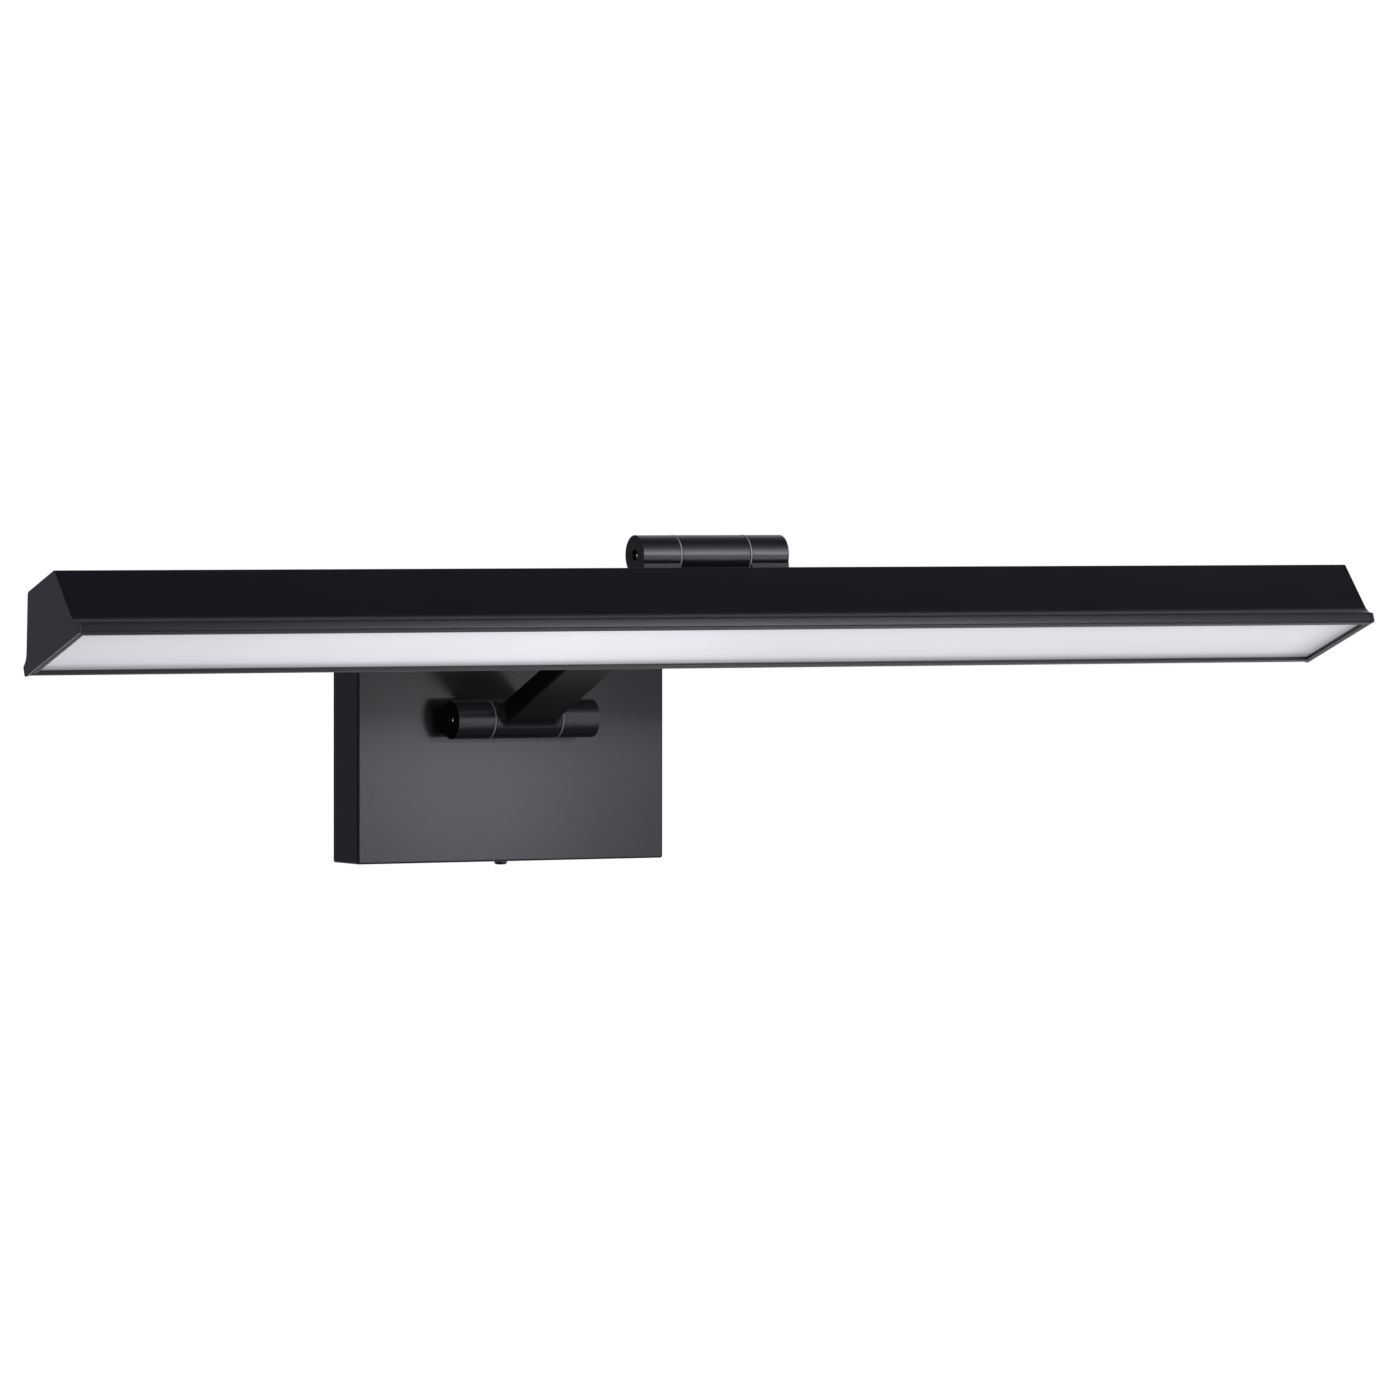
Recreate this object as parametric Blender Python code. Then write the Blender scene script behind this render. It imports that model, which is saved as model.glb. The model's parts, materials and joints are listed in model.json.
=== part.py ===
"""Wall-mounted LED picture light with a jointed arm and a tilting lamp head.

World frame: the wall is the plane Y = 0 and the light stands out from it towards -Y. +Z is up
and X runs along the lamp head. The origin is on the wall, level with the lower hinge, at the
middle of the light's width.

Each hinge has two outer knuckles, one on each side of the arm's own knuckle. On the left a set
screw is the pivot. On the right the pivot is a brass tube, and the lead passes through it.
"""

import math

import bmesh
import bpy
from mathutils import Euler, Vector

MM = 0.001
GAP = 0.3 * MM                  # clearance between touching pieces

# Canopy on the wall
COVER_WIDTH = 149.6 * MM
COVER_HEIGHT = 124.4 * MM
COVER_DEPTH = 23.8 * MM
COVER_WALL = 1.6 * MM
COVER_EDGE = 1.0 * MM           # rounding of the cover's edges
PLATE_THICKNESS = 1.6 * MM
PLATE_WIDTH = 112 * MM
EAR_WIDTH = 18 * MM
EAR_REACH = 19 * MM             # how far the ears stand out from the wall
COVER_SCREW_Y = -13 * MM
BOX_SCREW_SPACING = 88.9 * MM   # standard spacing of a wall box's screws
SUPPLY_HOLE_RADIUS = 11 * MM
SUPPLY_HOLE_Z = 30 * MM

# Inside the canopy
DRIVER_HALF = 42 * MM
DRIVER_HEIGHT = 30 * MM
DRIVER_SCREW_X = 46.5 * MM
DRIVER_Z = -36 * MM
DRIVER_BACK = -PLATE_THICKNESS - GAP
DRIVER_FRONT = -17 * MM
EARTH_SCREW = (-30 * MM, 30 * MM)
TERMINAL_LOW = Vector((20 * MM, -13 * MM, 22 * MM))
TERMINAL_HIGH = Vector((46 * MM, DRIVER_BACK, 38 * MM))

# Hinges
BARREL_RADIUS = 8.3 * MM
CENTRE_LENGTH = 32.1 * MM       # length of the arm's knuckles
OUTER_LENGTH = 17.4 * MM        # length of each outer knuckle
WASHER_THICKNESS = 0.6 * MM
WASHER_GAP = 0.15 * MM
WASHER_PROUD = 0.15 * MM
FOOT_WIDTH = 12 * MM
FIXING_SPACING = 11.2 * MM      # between the two fixing screws of one outer knuckle
LOWER_AXIS_HEIGHT = 8.9 * MM    # from the cover's face to the lower hinge axis
UPPER_AXIS_HEIGHT = 10.1 * MM   # from the housing's top to the upper hinge axis
SCREW_BORE = 2.15 * MM          # bore for the M4 set screws
TUBE_RADIUS = 2.9 * MM
TUBE_INNER = 1.9 * MM
TUBE_END = 22 * MM              # outer end of the pivot tube, from the middle of the hinge
BUSH_RADIUS = 3.8 * MM
BUSH_LENGTH = 7.4 * MM
LEAD_RADIUS = 1.3 * MM
LEAD_HOLE = 2.2 * MM

# Arm
ARM_LENGTH = 184.4 * MM         # between the two hinge axes
ARM_ELEVATION = 23.25           # degrees above the horizontal at rest
ARM_WIDTH = 24.5 * MM
ARM_THICKNESS = 9.4 * MM
ARM_EDGE = 1.2 * MM
CHANNEL_WIDTH = 7 * MM
CHANNEL_HEIGHT = 4.4 * MM
FLARE_RADIUS = 3.8 * MM

# Lamp head. Heights in its section are measured down from the top of the housing.
HEAD_LENGTH = 610 * MM
HEAD_TILT = 19.4                # degrees that the front edge is raised at rest
END_THICKNESS = 1.5 * MM
TOP_HALF = 13.8 * MM            # half the width of the flat top
SLOPE_HALF = 23.0 * MM          # half the width where the straight slope ends
SLOPE_DEPTH = 22.4 * MM
FOOT_HALF = 28.2 * MM           # half the width at the flared foot
FOOT_DEPTH = 26.9 * MM
HEAD_DEPTH = 31.0 * MM
HOUSING_WALL = 1.8 * MM
INNER_HALF = 21.2 * MM          # half the clear width between the feet
RIB_MIDDLE = 8.2 * MM
RIB_WIDTH = 3.2 * MM
RIB_DEPTH = 5.7 * MM
TRAY_SHEET = 1.0 * MM
TRAY_TOP = 6.0 * MM
TRAY_SCREW_X = (-265 * MM, -120 * MM, 120 * MM, 265 * MM)
LED_COUNT = 36
LED_PITCH = 15.8 * MM
BOARD_HALF = 5 * MM
BOARD_THICKNESS = 1.2 * MM
DIFFUSER_HALF = 26 * MM
DIFFUSER_TOP = FOOT_DEPTH + GAP
DIFFUSER_BOTTOM = 29.0 * MM
FLANGE_INNER = 23.9 * MM        # half the width of the visible diffuser
FLANGE_TOP = 30.0 * MM
BEZEL_END_WIDTH = 2.0 * MM

# Worked out from the above
KNUCKLE_INNER = CENTRE_LENGTH / 2 + 2 * WASHER_GAP + WASHER_THICKNESS
KNUCKLE_OUTER = KNUCKLE_INNER + OUTER_LENGTH
KNUCKLE_MIDDLE = (KNUCKLE_INNER + KNUCKLE_OUTER) / 2
LOWER_AXIS_Y = -(COVER_DEPTH + LOWER_AXIS_HEIGHT)
LEAD_JOINT = CENTRE_LENGTH / 2 + 0.6 * MM     # where two leads meet, inside the pivot tube
HOUSING_HALF = HEAD_LENGTH / 2 - END_THICKNESS
SIDES = {"left": -1, "right": 1}


# ---------------------------------------------------------------- materials

def make_material(name, colour, roughness, metallic):
    """A Principled material with one colour."""
    material = bpy.data.materials.new(name)
    material.use_nodes = True
    shader = material.node_tree.nodes["Principled BSDF"]
    shader.inputs["Base Color"].default_value = (*colour, 1.0)
    shader.inputs["Roughness"].default_value = roughness
    shader.inputs["Metallic"].default_value = metallic
    return material


def make_materials():
    return {
        "black": make_material("satin_black_coat", (0.012, 0.012, 0.014), 0.42, 0.0),
        "steel": make_material("zinc_plated_steel", (0.60, 0.60, 0.58), 0.35, 1.0),
        "brass": make_material("brass", (0.62, 0.45, 0.20), 0.30, 1.0),
        "nylon": make_material("pale_nylon", (0.45, 0.45, 0.46), 0.50, 0.0),
        "opal": make_material("opal_acrylic", (0.86, 0.85, 0.88), 0.35, 0.0),
        "white": make_material("white_enamel", (0.85, 0.85, 0.85), 0.40, 0.0),
        "board": make_material("led_board", (0.80, 0.81, 0.80), 0.45, 0.0),
        "plastic": make_material("white_plastic", (0.80, 0.80, 0.77), 0.45, 0.0),
        "lead": make_material("lead_sheath", (0.03, 0.03, 0.03), 0.55, 0.0),
        "green": make_material("green_earth_screw", (0.05, 0.30, 0.08), 0.35, 1.0),
    }


# ---------------------------------------------------------------- modelling helpers

def add_frame(name, location, rotation_x, parent=None):
    """An empty that stands for a local frame, turned about X."""
    empty = bpy.data.objects.new(name, None)
    empty.location = location
    empty.rotation_euler = Euler((math.radians(rotation_x), 0, 0))
    empty.parent = parent
    bpy.context.scene.collection.objects.link(empty)
    return empty


def add_object(name, mesh_builder, material, frame):
    """Turns a bmesh into a named object under a frame."""
    bmesh.ops.recalc_face_normals(mesh_builder, faces=mesh_builder.faces)
    mesh = bpy.data.meshes.new(name)
    mesh_builder.to_mesh(mesh)
    mesh_builder.free()
    thing = bpy.data.objects.new(name, mesh)
    thing.parent = frame
    if material:
        mesh.materials.append(material)
    bpy.context.scene.collection.objects.link(thing)
    return thing


def smooth(thing, angle=35):
    """Shades round faces smooth and keeps the edges sharper than the angle."""
    thing.data.shade_smooth()
    thing.data.set_sharp_from_angle(angle=math.radians(angle))
    return thing


def hide_tool(tool):
    """Marks an object that only cuts or joins another."""
    tool.hide_render = True
    tool.display_type = "WIRE"
    return tool


def boolean(target, tool, operation):
    modifier = target.modifiers.new(operation.lower(), "BOOLEAN")
    modifier.operation = operation
    modifier.solver = "EXACT"
    modifier.object = hide_tool(tool)


def cut(target, tool):
    boolean(target, tool, "DIFFERENCE")


def weld(target, tool):
    boolean(target, tool, "UNION")


def point(axis, along, first, second):
    """A point from its distance along an axis and its two other coordinates, in X, Y, Z order."""
    if axis == "X":
        return Vector((along, first, second))
    if axis == "Y":
        return Vector((first, along, second))
    return Vector((first, second, along))


def prism(outline, start, end, axis="X"):
    """A closed outline carried along an axis. The outline holds the two other coordinates."""
    builder = bmesh.new()
    first = [builder.verts.new(point(axis, start, a, b)) for a, b in outline]
    last = [builder.verts.new(point(axis, end, a, b)) for a, b in outline]
    count = len(outline)
    for i in range(count):
        j = (i + 1) % count
        builder.faces.new((first[i], first[j], last[j], last[i]))
    builder.faces.new(first)
    builder.faces.new(last)
    return builder


def block(low, high):
    """A box from its lowest to its highest corner."""
    outline = [(low[1], low[2]), (high[1], low[2]), (high[1], high[2]), (low[1], high[2])]
    return prism(outline, low[0], high[0])


def ring_radius(radius, angle, hexagonal):
    """The radius of a round ring, or of a hexagon with that distance across its flats / 2."""
    if not hexagonal:
        return radius
    sixth = math.pi / 3
    return radius / math.cos((angle % sixth) - sixth / 2)


def lathe(rings, axis="X", centre=(0, 0), closed=False, segments=24, turn=0.0):
    """A turned solid. Each ring is (distance along the axis, radius) or (distance, radius, "hex").

    An open profile is capped at both ends. A closed one joins its last ring to its first.
    turn moves the first point of every ring round by that share of a segment.
    """
    builder = bmesh.new()
    loops = []
    for ring in rings:
        hexagonal = len(ring) == 3
        loop = []
        for i in range(segments):
            angle = 2 * math.pi * (i + turn) / segments
            radius = ring_radius(ring[1], angle, hexagonal)
            first = centre[0] + radius * math.cos(angle)
            second = centre[1] + radius * math.sin(angle)
            loop.append(builder.verts.new(point(axis, ring[0], first, second)))
        loops.append(loop)
    pairs = list(zip(loops, loops[1:]))
    if closed:
        pairs.append((loops[-1], loops[0]))
    else:
        builder.faces.new(loops[0])
        builder.faces.new(loops[-1])
    for lower, upper in pairs:
        for i in range(segments):
            j = (i + 1) % segments
            builder.faces.new((lower[i], lower[j], upper[j], upper[i]))
    return builder


def drill(target, frame, start, end, radius, axis="X", centre=(0, 0), segments=16):
    """Cuts a round hole along an axis."""
    rings = [(start, radius), (end, radius)]
    tool = lathe(rings, axis, centre, segments=segments, turn=0.5)
    cut(target, add_object(target.name + "_drill", tool, None, frame))


def arc(centre, radius, start, end, steps):
    """Points on an arc, between two angles in degrees, both ends included."""
    points = []
    for i in range(steps + 1):
        angle = math.radians(start + (end - start) * i / steps)
        points.append((centre[0] + radius * math.cos(angle), centre[1] + radius * math.sin(angle)))
    return points


def tangent_arc(start, before, end, steps):
    """Points of the arc that leaves start in the direction from before and ends at end."""
    heading = math.atan2(start[1] - before[1], start[0] - before[0])
    chord = math.atan2(end[1] - start[1], end[0] - start[0])
    half = math.hypot(end[0] - start[0], end[1] - start[1]) / 2
    turn = chord - heading
    radius = half / math.sin(turn)
    centre = (start[0] - radius * math.sin(heading), start[1] + radius * math.cos(heading))
    first = math.degrees(heading - math.pi / 2)
    return arc(centre, radius, first, first + math.degrees(2 * turn), steps)


def mirrored(half):
    """Half an outline, completed by its mirror image in the first coordinate."""
    return half + [(-a, b) for a, b in reversed(half)]


def round_edges(thing, width, segments=2):
    """A Bevel modifier on the edges sharper than 50 degrees."""
    bevel = thing.modifiers.new("round_edges", "BEVEL")
    bevel.width = width
    bevel.segments = segments
    bevel.limit_method = "ANGLE"
    bevel.angle_limit = math.radians(50)
    return thing


def rounded_route(corners, radius, steps=5):
    """A route through corners with each inner corner rounded off."""
    route = [Vector(corners[0])]
    for before, corner, after in zip(corners, corners[1:], corners[2:]):
        corner = Vector(corner)
        entering = (corner - Vector(before)).normalized()
        leaving = (Vector(after) - corner).normalized()
        centre = corner + (leaving - entering) * radius
        for i in range(steps + 1):
            angle = math.pi / 2 * i / steps
            route.append(centre - leaving * radius * math.cos(angle) + entering * radius * math.sin(angle))
    route.append(Vector(corners[-1]))
    return route


def add_lead(name, route, radius, material, frame):
    """A lead, as a curve with a round section and filled ends."""
    curve = bpy.data.curves.new(name, "CURVE")
    curve.dimensions = "3D"
    curve.bevel_depth = radius
    curve.bevel_resolution = 2
    curve.use_fill_caps = True
    curve.materials.append(material)
    spline = curve.splines.new("POLY")
    spline.points.add(len(route) - 1)
    for target, source in zip(spline.points, route):
        target.co = (*source, 1.0)
    thing = bpy.data.objects.new(name, curve)
    thing.parent = frame
    bpy.context.scene.collection.objects.link(thing)
    return thing


def button_screw(name, seat, direction, length, centre, axis, material, frame, head=None):
    """A round-headed screw with a hexagon socket. The head's underside is at seat, and the
    shank runs from there by length in the direction +1 or -1 along the axis."""
    head_radius, head_height, shank_radius = head or (2.75 * MM, 2.0 * MM, 1.5 * MM)
    top = seat - direction * head_height
    shoulder = seat - direction * head_height * 0.35
    socket = head_radius * 0.42
    rings = [
        (seat - direction * head_height * 0.4, socket, "hex"),
        (top, socket, "hex"),
        (top, head_radius * 0.62),
        (shoulder, head_radius),
        (seat, head_radius),
        (seat, shank_radius),
        (seat + direction * (length - 0.4 * MM), shank_radius),
        (seat + direction * length, shank_radius - 0.4 * MM),
    ]
    return smooth(add_object(name, lathe(rings, axis, centre, segments=12), material, frame))


def set_screw(name, outer, inner, material, frame):
    """A headless M4 screw on the hinge axis. Its hexagon socket is in the outer end."""
    inward = 1 if inner > outer else -1
    radius = SCREW_BORE - 0.2 * MM
    rings = [
        (outer + inward * 2.2 * MM, 1.0 * MM, "hex"),
        (outer, 1.0 * MM, "hex"),
        (outer, radius - 0.3 * MM),
        (outer + inward * 0.3 * MM, radius),
        (inner - inward * 0.5 * MM, radius),
        (inner, radius - 0.5 * MM),
    ]
    return smooth(add_object(name, lathe(rings, segments=12), material, frame))


def sleeve(name, start, end, outer, inner, material, frame, segments=16):
    """A plain ring or tube on the hinge axis."""
    rings = [(start, outer), (end, outer), (end, inner), (start, inner)]
    return smooth(add_object(name, lathe(rings, closed=True, segments=segments), material, frame))


# ---------------------------------------------------------------- hinges

def outer_knuckle(name, side, axis_height, material, frame):
    """A barrel with a flat foot. The axis is the frame's X axis and the foot points to -Z."""
    half_foot = FOOT_WIDTH / 2
    meet = math.degrees(math.acos(half_foot / BARREL_RADIUS))
    outline = arc((0, 0), BARREL_RADIUS, -meet, 180 + meet, 22)
    outline += [(-half_foot, -axis_height), (half_foot, -axis_height)]
    builder = prism(outline, side * KNUCKLE_INNER, side * KNUCKLE_OUTER)
    knuckle = round_edges(add_object(name, builder, material, frame), 0.5 * MM, 1)
    outside = side * (KNUCKLE_OUTER + 2 * MM)
    inside = side * (KNUCKLE_INNER - 2 * MM)
    below = -axis_height - 2 * MM
    if side < 0:
        drill(knuckle, frame, inside, outside, SCREW_BORE)
    else:
        step = KNUCKLE_OUTER - 6 * MM
        drill(knuckle, frame, inside, step, TUBE_RADIUS + 0.2 * MM)
        drill(knuckle, frame, step - 1 * MM, outside, SCREW_BORE)
        drill(knuckle, frame, below, 0, LEAD_HOLE, "Z", (KNUCKLE_MIDDLE, 0))
    for x in fixing_places(side):
        drill(knuckle, frame, below, -axis_height + 4.5 * MM, 1.75 * MM, "Z", (x, 0))
    return smooth(knuckle)


def fixing_places(side):
    """X of the two fixing screws of the outer knuckle on that side."""
    middle = side * KNUCKLE_MIDDLE
    return middle - FIXING_SPACING / 2, middle + FIXING_SPACING / 2


def hinge_seat(prefix, frame, axis_height, wall, materials):
    """Everything of one hinge that isn't part of the arm: knuckles, pivots, washers and screws."""
    number = 1
    for side_name, side in SIDES.items():
        outer_knuckle(f"{prefix}_knuckle_{side_name}", side, axis_height, materials["black"], frame)
        start = CENTRE_LENGTH / 2 + WASHER_GAP
        sleeve(f"{prefix}_washer_{side_name}", side * start, side * (start + WASHER_THICKNESS),
               BARREL_RADIUS + WASHER_PROUD, TUBE_RADIUS + 0.4 * MM, materials["nylon"], frame, 28)
        for x in fixing_places(side):
            seat = -axis_height - wall - 0.1 * MM
            button_screw(f"{prefix}_fixing_screw_{number}", seat, 1, 4 * MM + wall, (x, 0), "Z",
                         materials["steel"], frame)
            number += 1
    recess = KNUCKLE_OUTER - 1.6 * MM
    set_screw(f"{prefix}_pivot_screw", -recess, -9 * MM, materials["steel"], frame)
    set_screw(f"{prefix}_plug_screw", recess, KNUCKLE_OUTER - 5.5 * MM, materials["steel"], frame)
    sleeve(f"{prefix}_pivot_tube", 9 * MM, TUBE_END, TUBE_RADIUS, TUBE_INNER, materials["brass"], frame)


# ---------------------------------------------------------------- canopy on the wall

def canopy_cover(material, frame, seat_frame):
    """The box-shaped cover, open at the wall."""
    half_width = COVER_WIDTH / 2
    half_height = COVER_HEIGHT / 2
    builder = block((-half_width, -COVER_DEPTH, -half_height), (half_width, 0, half_height))
    rim = [e for e in builder.edges if min(v.co.y for v in e.verts) < -COVER_DEPTH / 2]
    bmesh.ops.bevel(builder, geom=rim, offset=COVER_EDGE, segments=3, profile=0.5, affect="EDGES")
    cover = add_object("canopy_cover", builder, material, frame)
    inner = block((-half_width + COVER_WALL, -COVER_DEPTH + COVER_WALL, -half_height + COVER_WALL),
                  (half_width - COVER_WALL, 5 * MM, half_height - COVER_WALL))
    cut(cover, add_object("cover_inside", inner, None, frame))
    for end in (-1, 1):
        drill(cover, frame, end * (half_height - 4 * MM), end * (half_height + 2 * MM),
              1.85 * MM, "Z", (0, COVER_SCREW_Y))
    below = -LOWER_AXIS_HEIGHT - 4 * MM
    above = -LOWER_AXIS_HEIGHT + 2 * MM
    for side in SIDES.values():
        for x in fixing_places(side):
            drill(cover, seat_frame, below, above, 1.85 * MM, "Z", (x, 0))
    drill(cover, seat_frame, below, above, LEAD_HOLE, "Z", (KNUCKLE_MIDDLE, 0))
    return smooth(cover)


def mounting_plate(material, frame):
    """The steel plate on the wall box, with an ear at its top and bottom for the cover screws."""
    ear_outer = COVER_HEIGHT / 2 - COVER_WALL - GAP
    ear_inner = ear_outer - PLATE_THICKNESS
    half = PLATE_WIDTH / 2
    plate = add_object("mounting_plate", block((-half, -PLATE_THICKNESS, -ear_inner),
                                               (half, 0, ear_inner)), material, frame)
    corner = [(0, ear_inner - 1 * MM), (0, ear_outer), (-EAR_REACH, ear_outer),
              (-EAR_REACH, ear_inner), (-PLATE_THICKNESS, ear_inner),
              (-PLATE_THICKNESS, ear_inner - 1 * MM)]
    for end in (-1, 1):
        outline = [(y, end * z) for y, z in corner]
        ear = prism(outline, -EAR_WIDTH / 2, EAR_WIDTH / 2)
        weld(plate, add_object("plate_ear", ear, None, frame))
    for end in (-1, 1):
        drill(plate, frame, end * (ear_inner - 3 * MM), end * (ear_outer + 2 * MM),
              1.75 * MM, "Z", (0, COVER_SCREW_Y))
        middle = end * BOX_SCREW_SPACING / 2
        slot = arc((middle + 3.5 * MM, 0), 2.5 * MM, -90, 90, 6)
        slot += arc((middle - 3.5 * MM, 0), 2.5 * MM, 90, 270, 6)
        cut(plate, add_object("box_slot", prism(slot, -5 * MM, 5 * MM, "Y"), None, frame))
        drill(plate, frame, -5 * MM, 5 * MM, 1.75 * MM, "Y", (end * DRIVER_SCREW_X, DRIVER_Z))
    drill(plate, frame, -5 * MM, 5 * MM, SUPPLY_HOLE_RADIUS, "Y", (0, SUPPLY_HOLE_Z), 24)
    drill(plate, frame, -5 * MM, 5 * MM, 1.75 * MM, "Y", EARTH_SCREW, 12)
    return plate


def led_driver(materials, frame):
    """The driver's case, with a foot at each end, and its two screws."""
    half_height = DRIVER_HEIGHT / 2
    case = block((-DRIVER_HALF, DRIVER_FRONT, DRIVER_Z - half_height),
                 (DRIVER_HALF, DRIVER_BACK, DRIVER_Z + half_height))
    driver = round_edges(add_object("led_driver", case, materials["plastic"], frame), 1.0 * MM, 1)
    foot_front = DRIVER_BACK - 2 * MM
    foot = block((-DRIVER_HALF - 9 * MM, foot_front, DRIVER_Z - 9 * MM),
                 (DRIVER_HALF + 9 * MM, DRIVER_BACK - 0.05 * MM, DRIVER_Z + 9 * MM))
    weld(driver, add_object("driver_foot", foot, None, frame))
    for side_name, side in SIDES.items():
        place = (side * DRIVER_SCREW_X, DRIVER_Z)
        drill(driver, frame, -10 * MM, 2 * MM, 1.75 * MM, "Y", place)
        button_screw(f"driver_screw_{side_name}", foot_front - GAP, 1, 3.6 * MM, place, "Y",
                     materials["steel"], frame)
    return driver


def terminal_block(material, frame):
    """A three-pole block with an entry for each wire on both sides."""
    builder = block(TERMINAL_LOW, TERMINAL_HIGH)
    terminal = round_edges(add_object("terminal_block", builder, material, frame), 0.6 * MM, 1)
    middle_y = (TERMINAL_LOW.y + TERMINAL_HIGH.y) / 2
    for pole in (-1, 0, 1):
        z = (TERMINAL_LOW.z + TERMINAL_HIGH.z) / 2 + pole * 5 * MM
        for edge, inward in ((TERMINAL_LOW.x, 1), (TERMINAL_HIGH.x, -1)):
            drill(terminal, frame, edge - inward * MM, edge + inward * 7 * MM, 1.6 * MM, "X",
                  (middle_y, z), 12)
    return terminal


def canopy(materials, frame, seat_frame):
    """Everything fixed to the wall except the lower hinge."""
    canopy_cover(materials["black"], frame, seat_frame)
    mounting_plate(materials["steel"], frame)
    led_driver(materials, frame)
    terminal_block(materials["plastic"], frame)
    half_height = COVER_HEIGHT / 2
    cover_head = (2.9 * MM, 1.7 * MM, 1.5 * MM)
    for end_name, end in (("bottom", -1), ("top", 1)):
        button_screw(f"cover_screw_{end_name}", end * (half_height + 0.1 * MM), -end, 6 * MM,
                     (0, COVER_SCREW_Y), "Z", materials["black"], frame, cover_head)
    button_screw("earth_screw", -PLATE_THICKNESS - GAP, 1, 1.5 * MM, EARTH_SCREW, "Y",
                 materials["green"], frame, (3.4 * MM, 2.2 * MM, 1.5 * MM))

    lead_y = -9 * MM
    terminal_z = (TERMINAL_LOW.z + TERMINAL_HIGH.z) / 2
    mains = [(TERMINAL_HIGH.x + GAP, lead_y, terminal_z), (60 * MM, lead_y, terminal_z),
             (60 * MM, lead_y, DRIVER_Z), (DRIVER_HALF + GAP, lead_y, DRIVER_Z)]
    add_lead("mains_lead", rounded_route(mains, 8 * MM), 1.8 * MM, materials["lead"], frame)

    bend_y = -11 * MM
    wall_side = [(KNUCKLE_MIDDLE, bend_y, DRIVER_Z + DRIVER_HEIGHT / 2 + GAP),
                 (KNUCKLE_MIDDLE, bend_y, 0),
                 (KNUCKLE_MIDDLE, LOWER_AXIS_Y, 0),
                 (LEAD_JOINT, LOWER_AXIS_Y, 0)]
    add_lead("wall_lead", rounded_route(wall_side, 3 * MM), LEAD_RADIUS, materials["lead"], frame)


# ---------------------------------------------------------------- arm

def arm_casting(material, frame):
    """The flat bar and its two knuckles. The bar runs from the frame's origin along -Y."""
    half_knuckle = CENTRE_LENGTH / 2
    half_width = ARM_WIDTH / 2
    flare_start = 8.8 * MM
    lower = [(half_knuckle, -2 * MM)]
    lower += arc((half_width + FLARE_RADIUS, -flare_start), FLARE_RADIUS, 90, 180, 5)
    upper = [(x, -ARM_LENGTH - y) for x, y in reversed(lower)]
    right = [(min(x, half_knuckle), y) for x, y in lower + upper]
    bar_builder = prism(mirrored(right), -ARM_THICKNESS / 2, ARM_THICKNESS / 2, "Z")
    arm = round_edges(add_object("arm", bar_builder, material, frame), ARM_EDGE)
    for y in (0, -ARM_LENGTH):
        rings = [
            (-half_knuckle, BARREL_RADIUS - 0.4 * MM),
            (-half_knuckle + 0.4 * MM, BARREL_RADIUS),
            (half_knuckle - 0.4 * MM, BARREL_RADIUS),
            (half_knuckle, BARREL_RADIUS - 0.4 * MM),
        ]
        barrel = lathe(rings, centre=(y, 0), segments=28)
        weld(arm, add_object("arm_barrel", barrel, None, frame))
    channel = block((-CHANNEL_WIDTH / 2, -ARM_LENGTH, -CHANNEL_HEIGHT / 2),
                    (CHANNEL_WIDTH / 2, 0, CHANNEL_HEIGHT / 2))
    cut(arm, add_object("arm_channel", channel, None, frame))
    for y in (0, -ARM_LENGTH):
        pocket = half_knuckle - BUSH_LENGTH - GAP
        drill(arm, frame, -half_knuckle - 1 * MM, -pocket, BUSH_RADIUS + 0.2 * MM, "X", (y, 0))
        drill(arm, frame, pocket, half_knuckle + 1 * MM, BUSH_RADIUS + 0.2 * MM, "X", (y, 0))
        drill(arm, frame, -9.5 * MM, pocket + 0.5 * MM, TUBE_RADIUS + 0.1 * MM, "X", (y, 0))
    return smooth(arm)


def arm_body(materials, frame, end_frame):
    """The arm, its bushes and the lead inside it. end_frame is at its upper axis, and is
    turned like the arm."""
    arm_casting(materials["black"], frame)
    outer = CENTRE_LENGTH / 2
    inner = outer - BUSH_LENGTH
    bores = {"left": SCREW_BORE, "right": TUBE_RADIUS + 0.2 * MM}
    for prefix, place in (("lower", frame), ("upper", end_frame)):
        for side_name, side in SIDES.items():
            sleeve(f"{prefix}_bush_{side_name}", side * inner, side * outer, BUSH_RADIUS,
                   bores[side_name], materials["brass"], place)
    start = LEAD_JOINT - GAP
    corners = [(start, 0, 0), (0, 0, 0), (0, -ARM_LENGTH, 0), (start, -ARM_LENGTH, 0)]
    add_lead("arm_lead", rounded_route(corners, 3 * MM), LEAD_RADIUS, materials["lead"], frame)


# ---------------------------------------------------------------- lamp head

def head_outline(section):
    """A section given as (half width towards the front, depth below the top), in head frame Y, Z."""
    return [(-u, -UPPER_AXIS_HEIGHT - depth) for u, depth in section]


def outer_profile():
    """One half of the head's outside: the flat top's edge, the slope and the concave flare."""
    top = (TOP_HALF, 0)
    slope_end = (SLOPE_HALF, SLOPE_DEPTH)
    return [top] + tangent_arc(slope_end, top, (FOOT_HALF, FOOT_DEPTH), 6)


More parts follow.
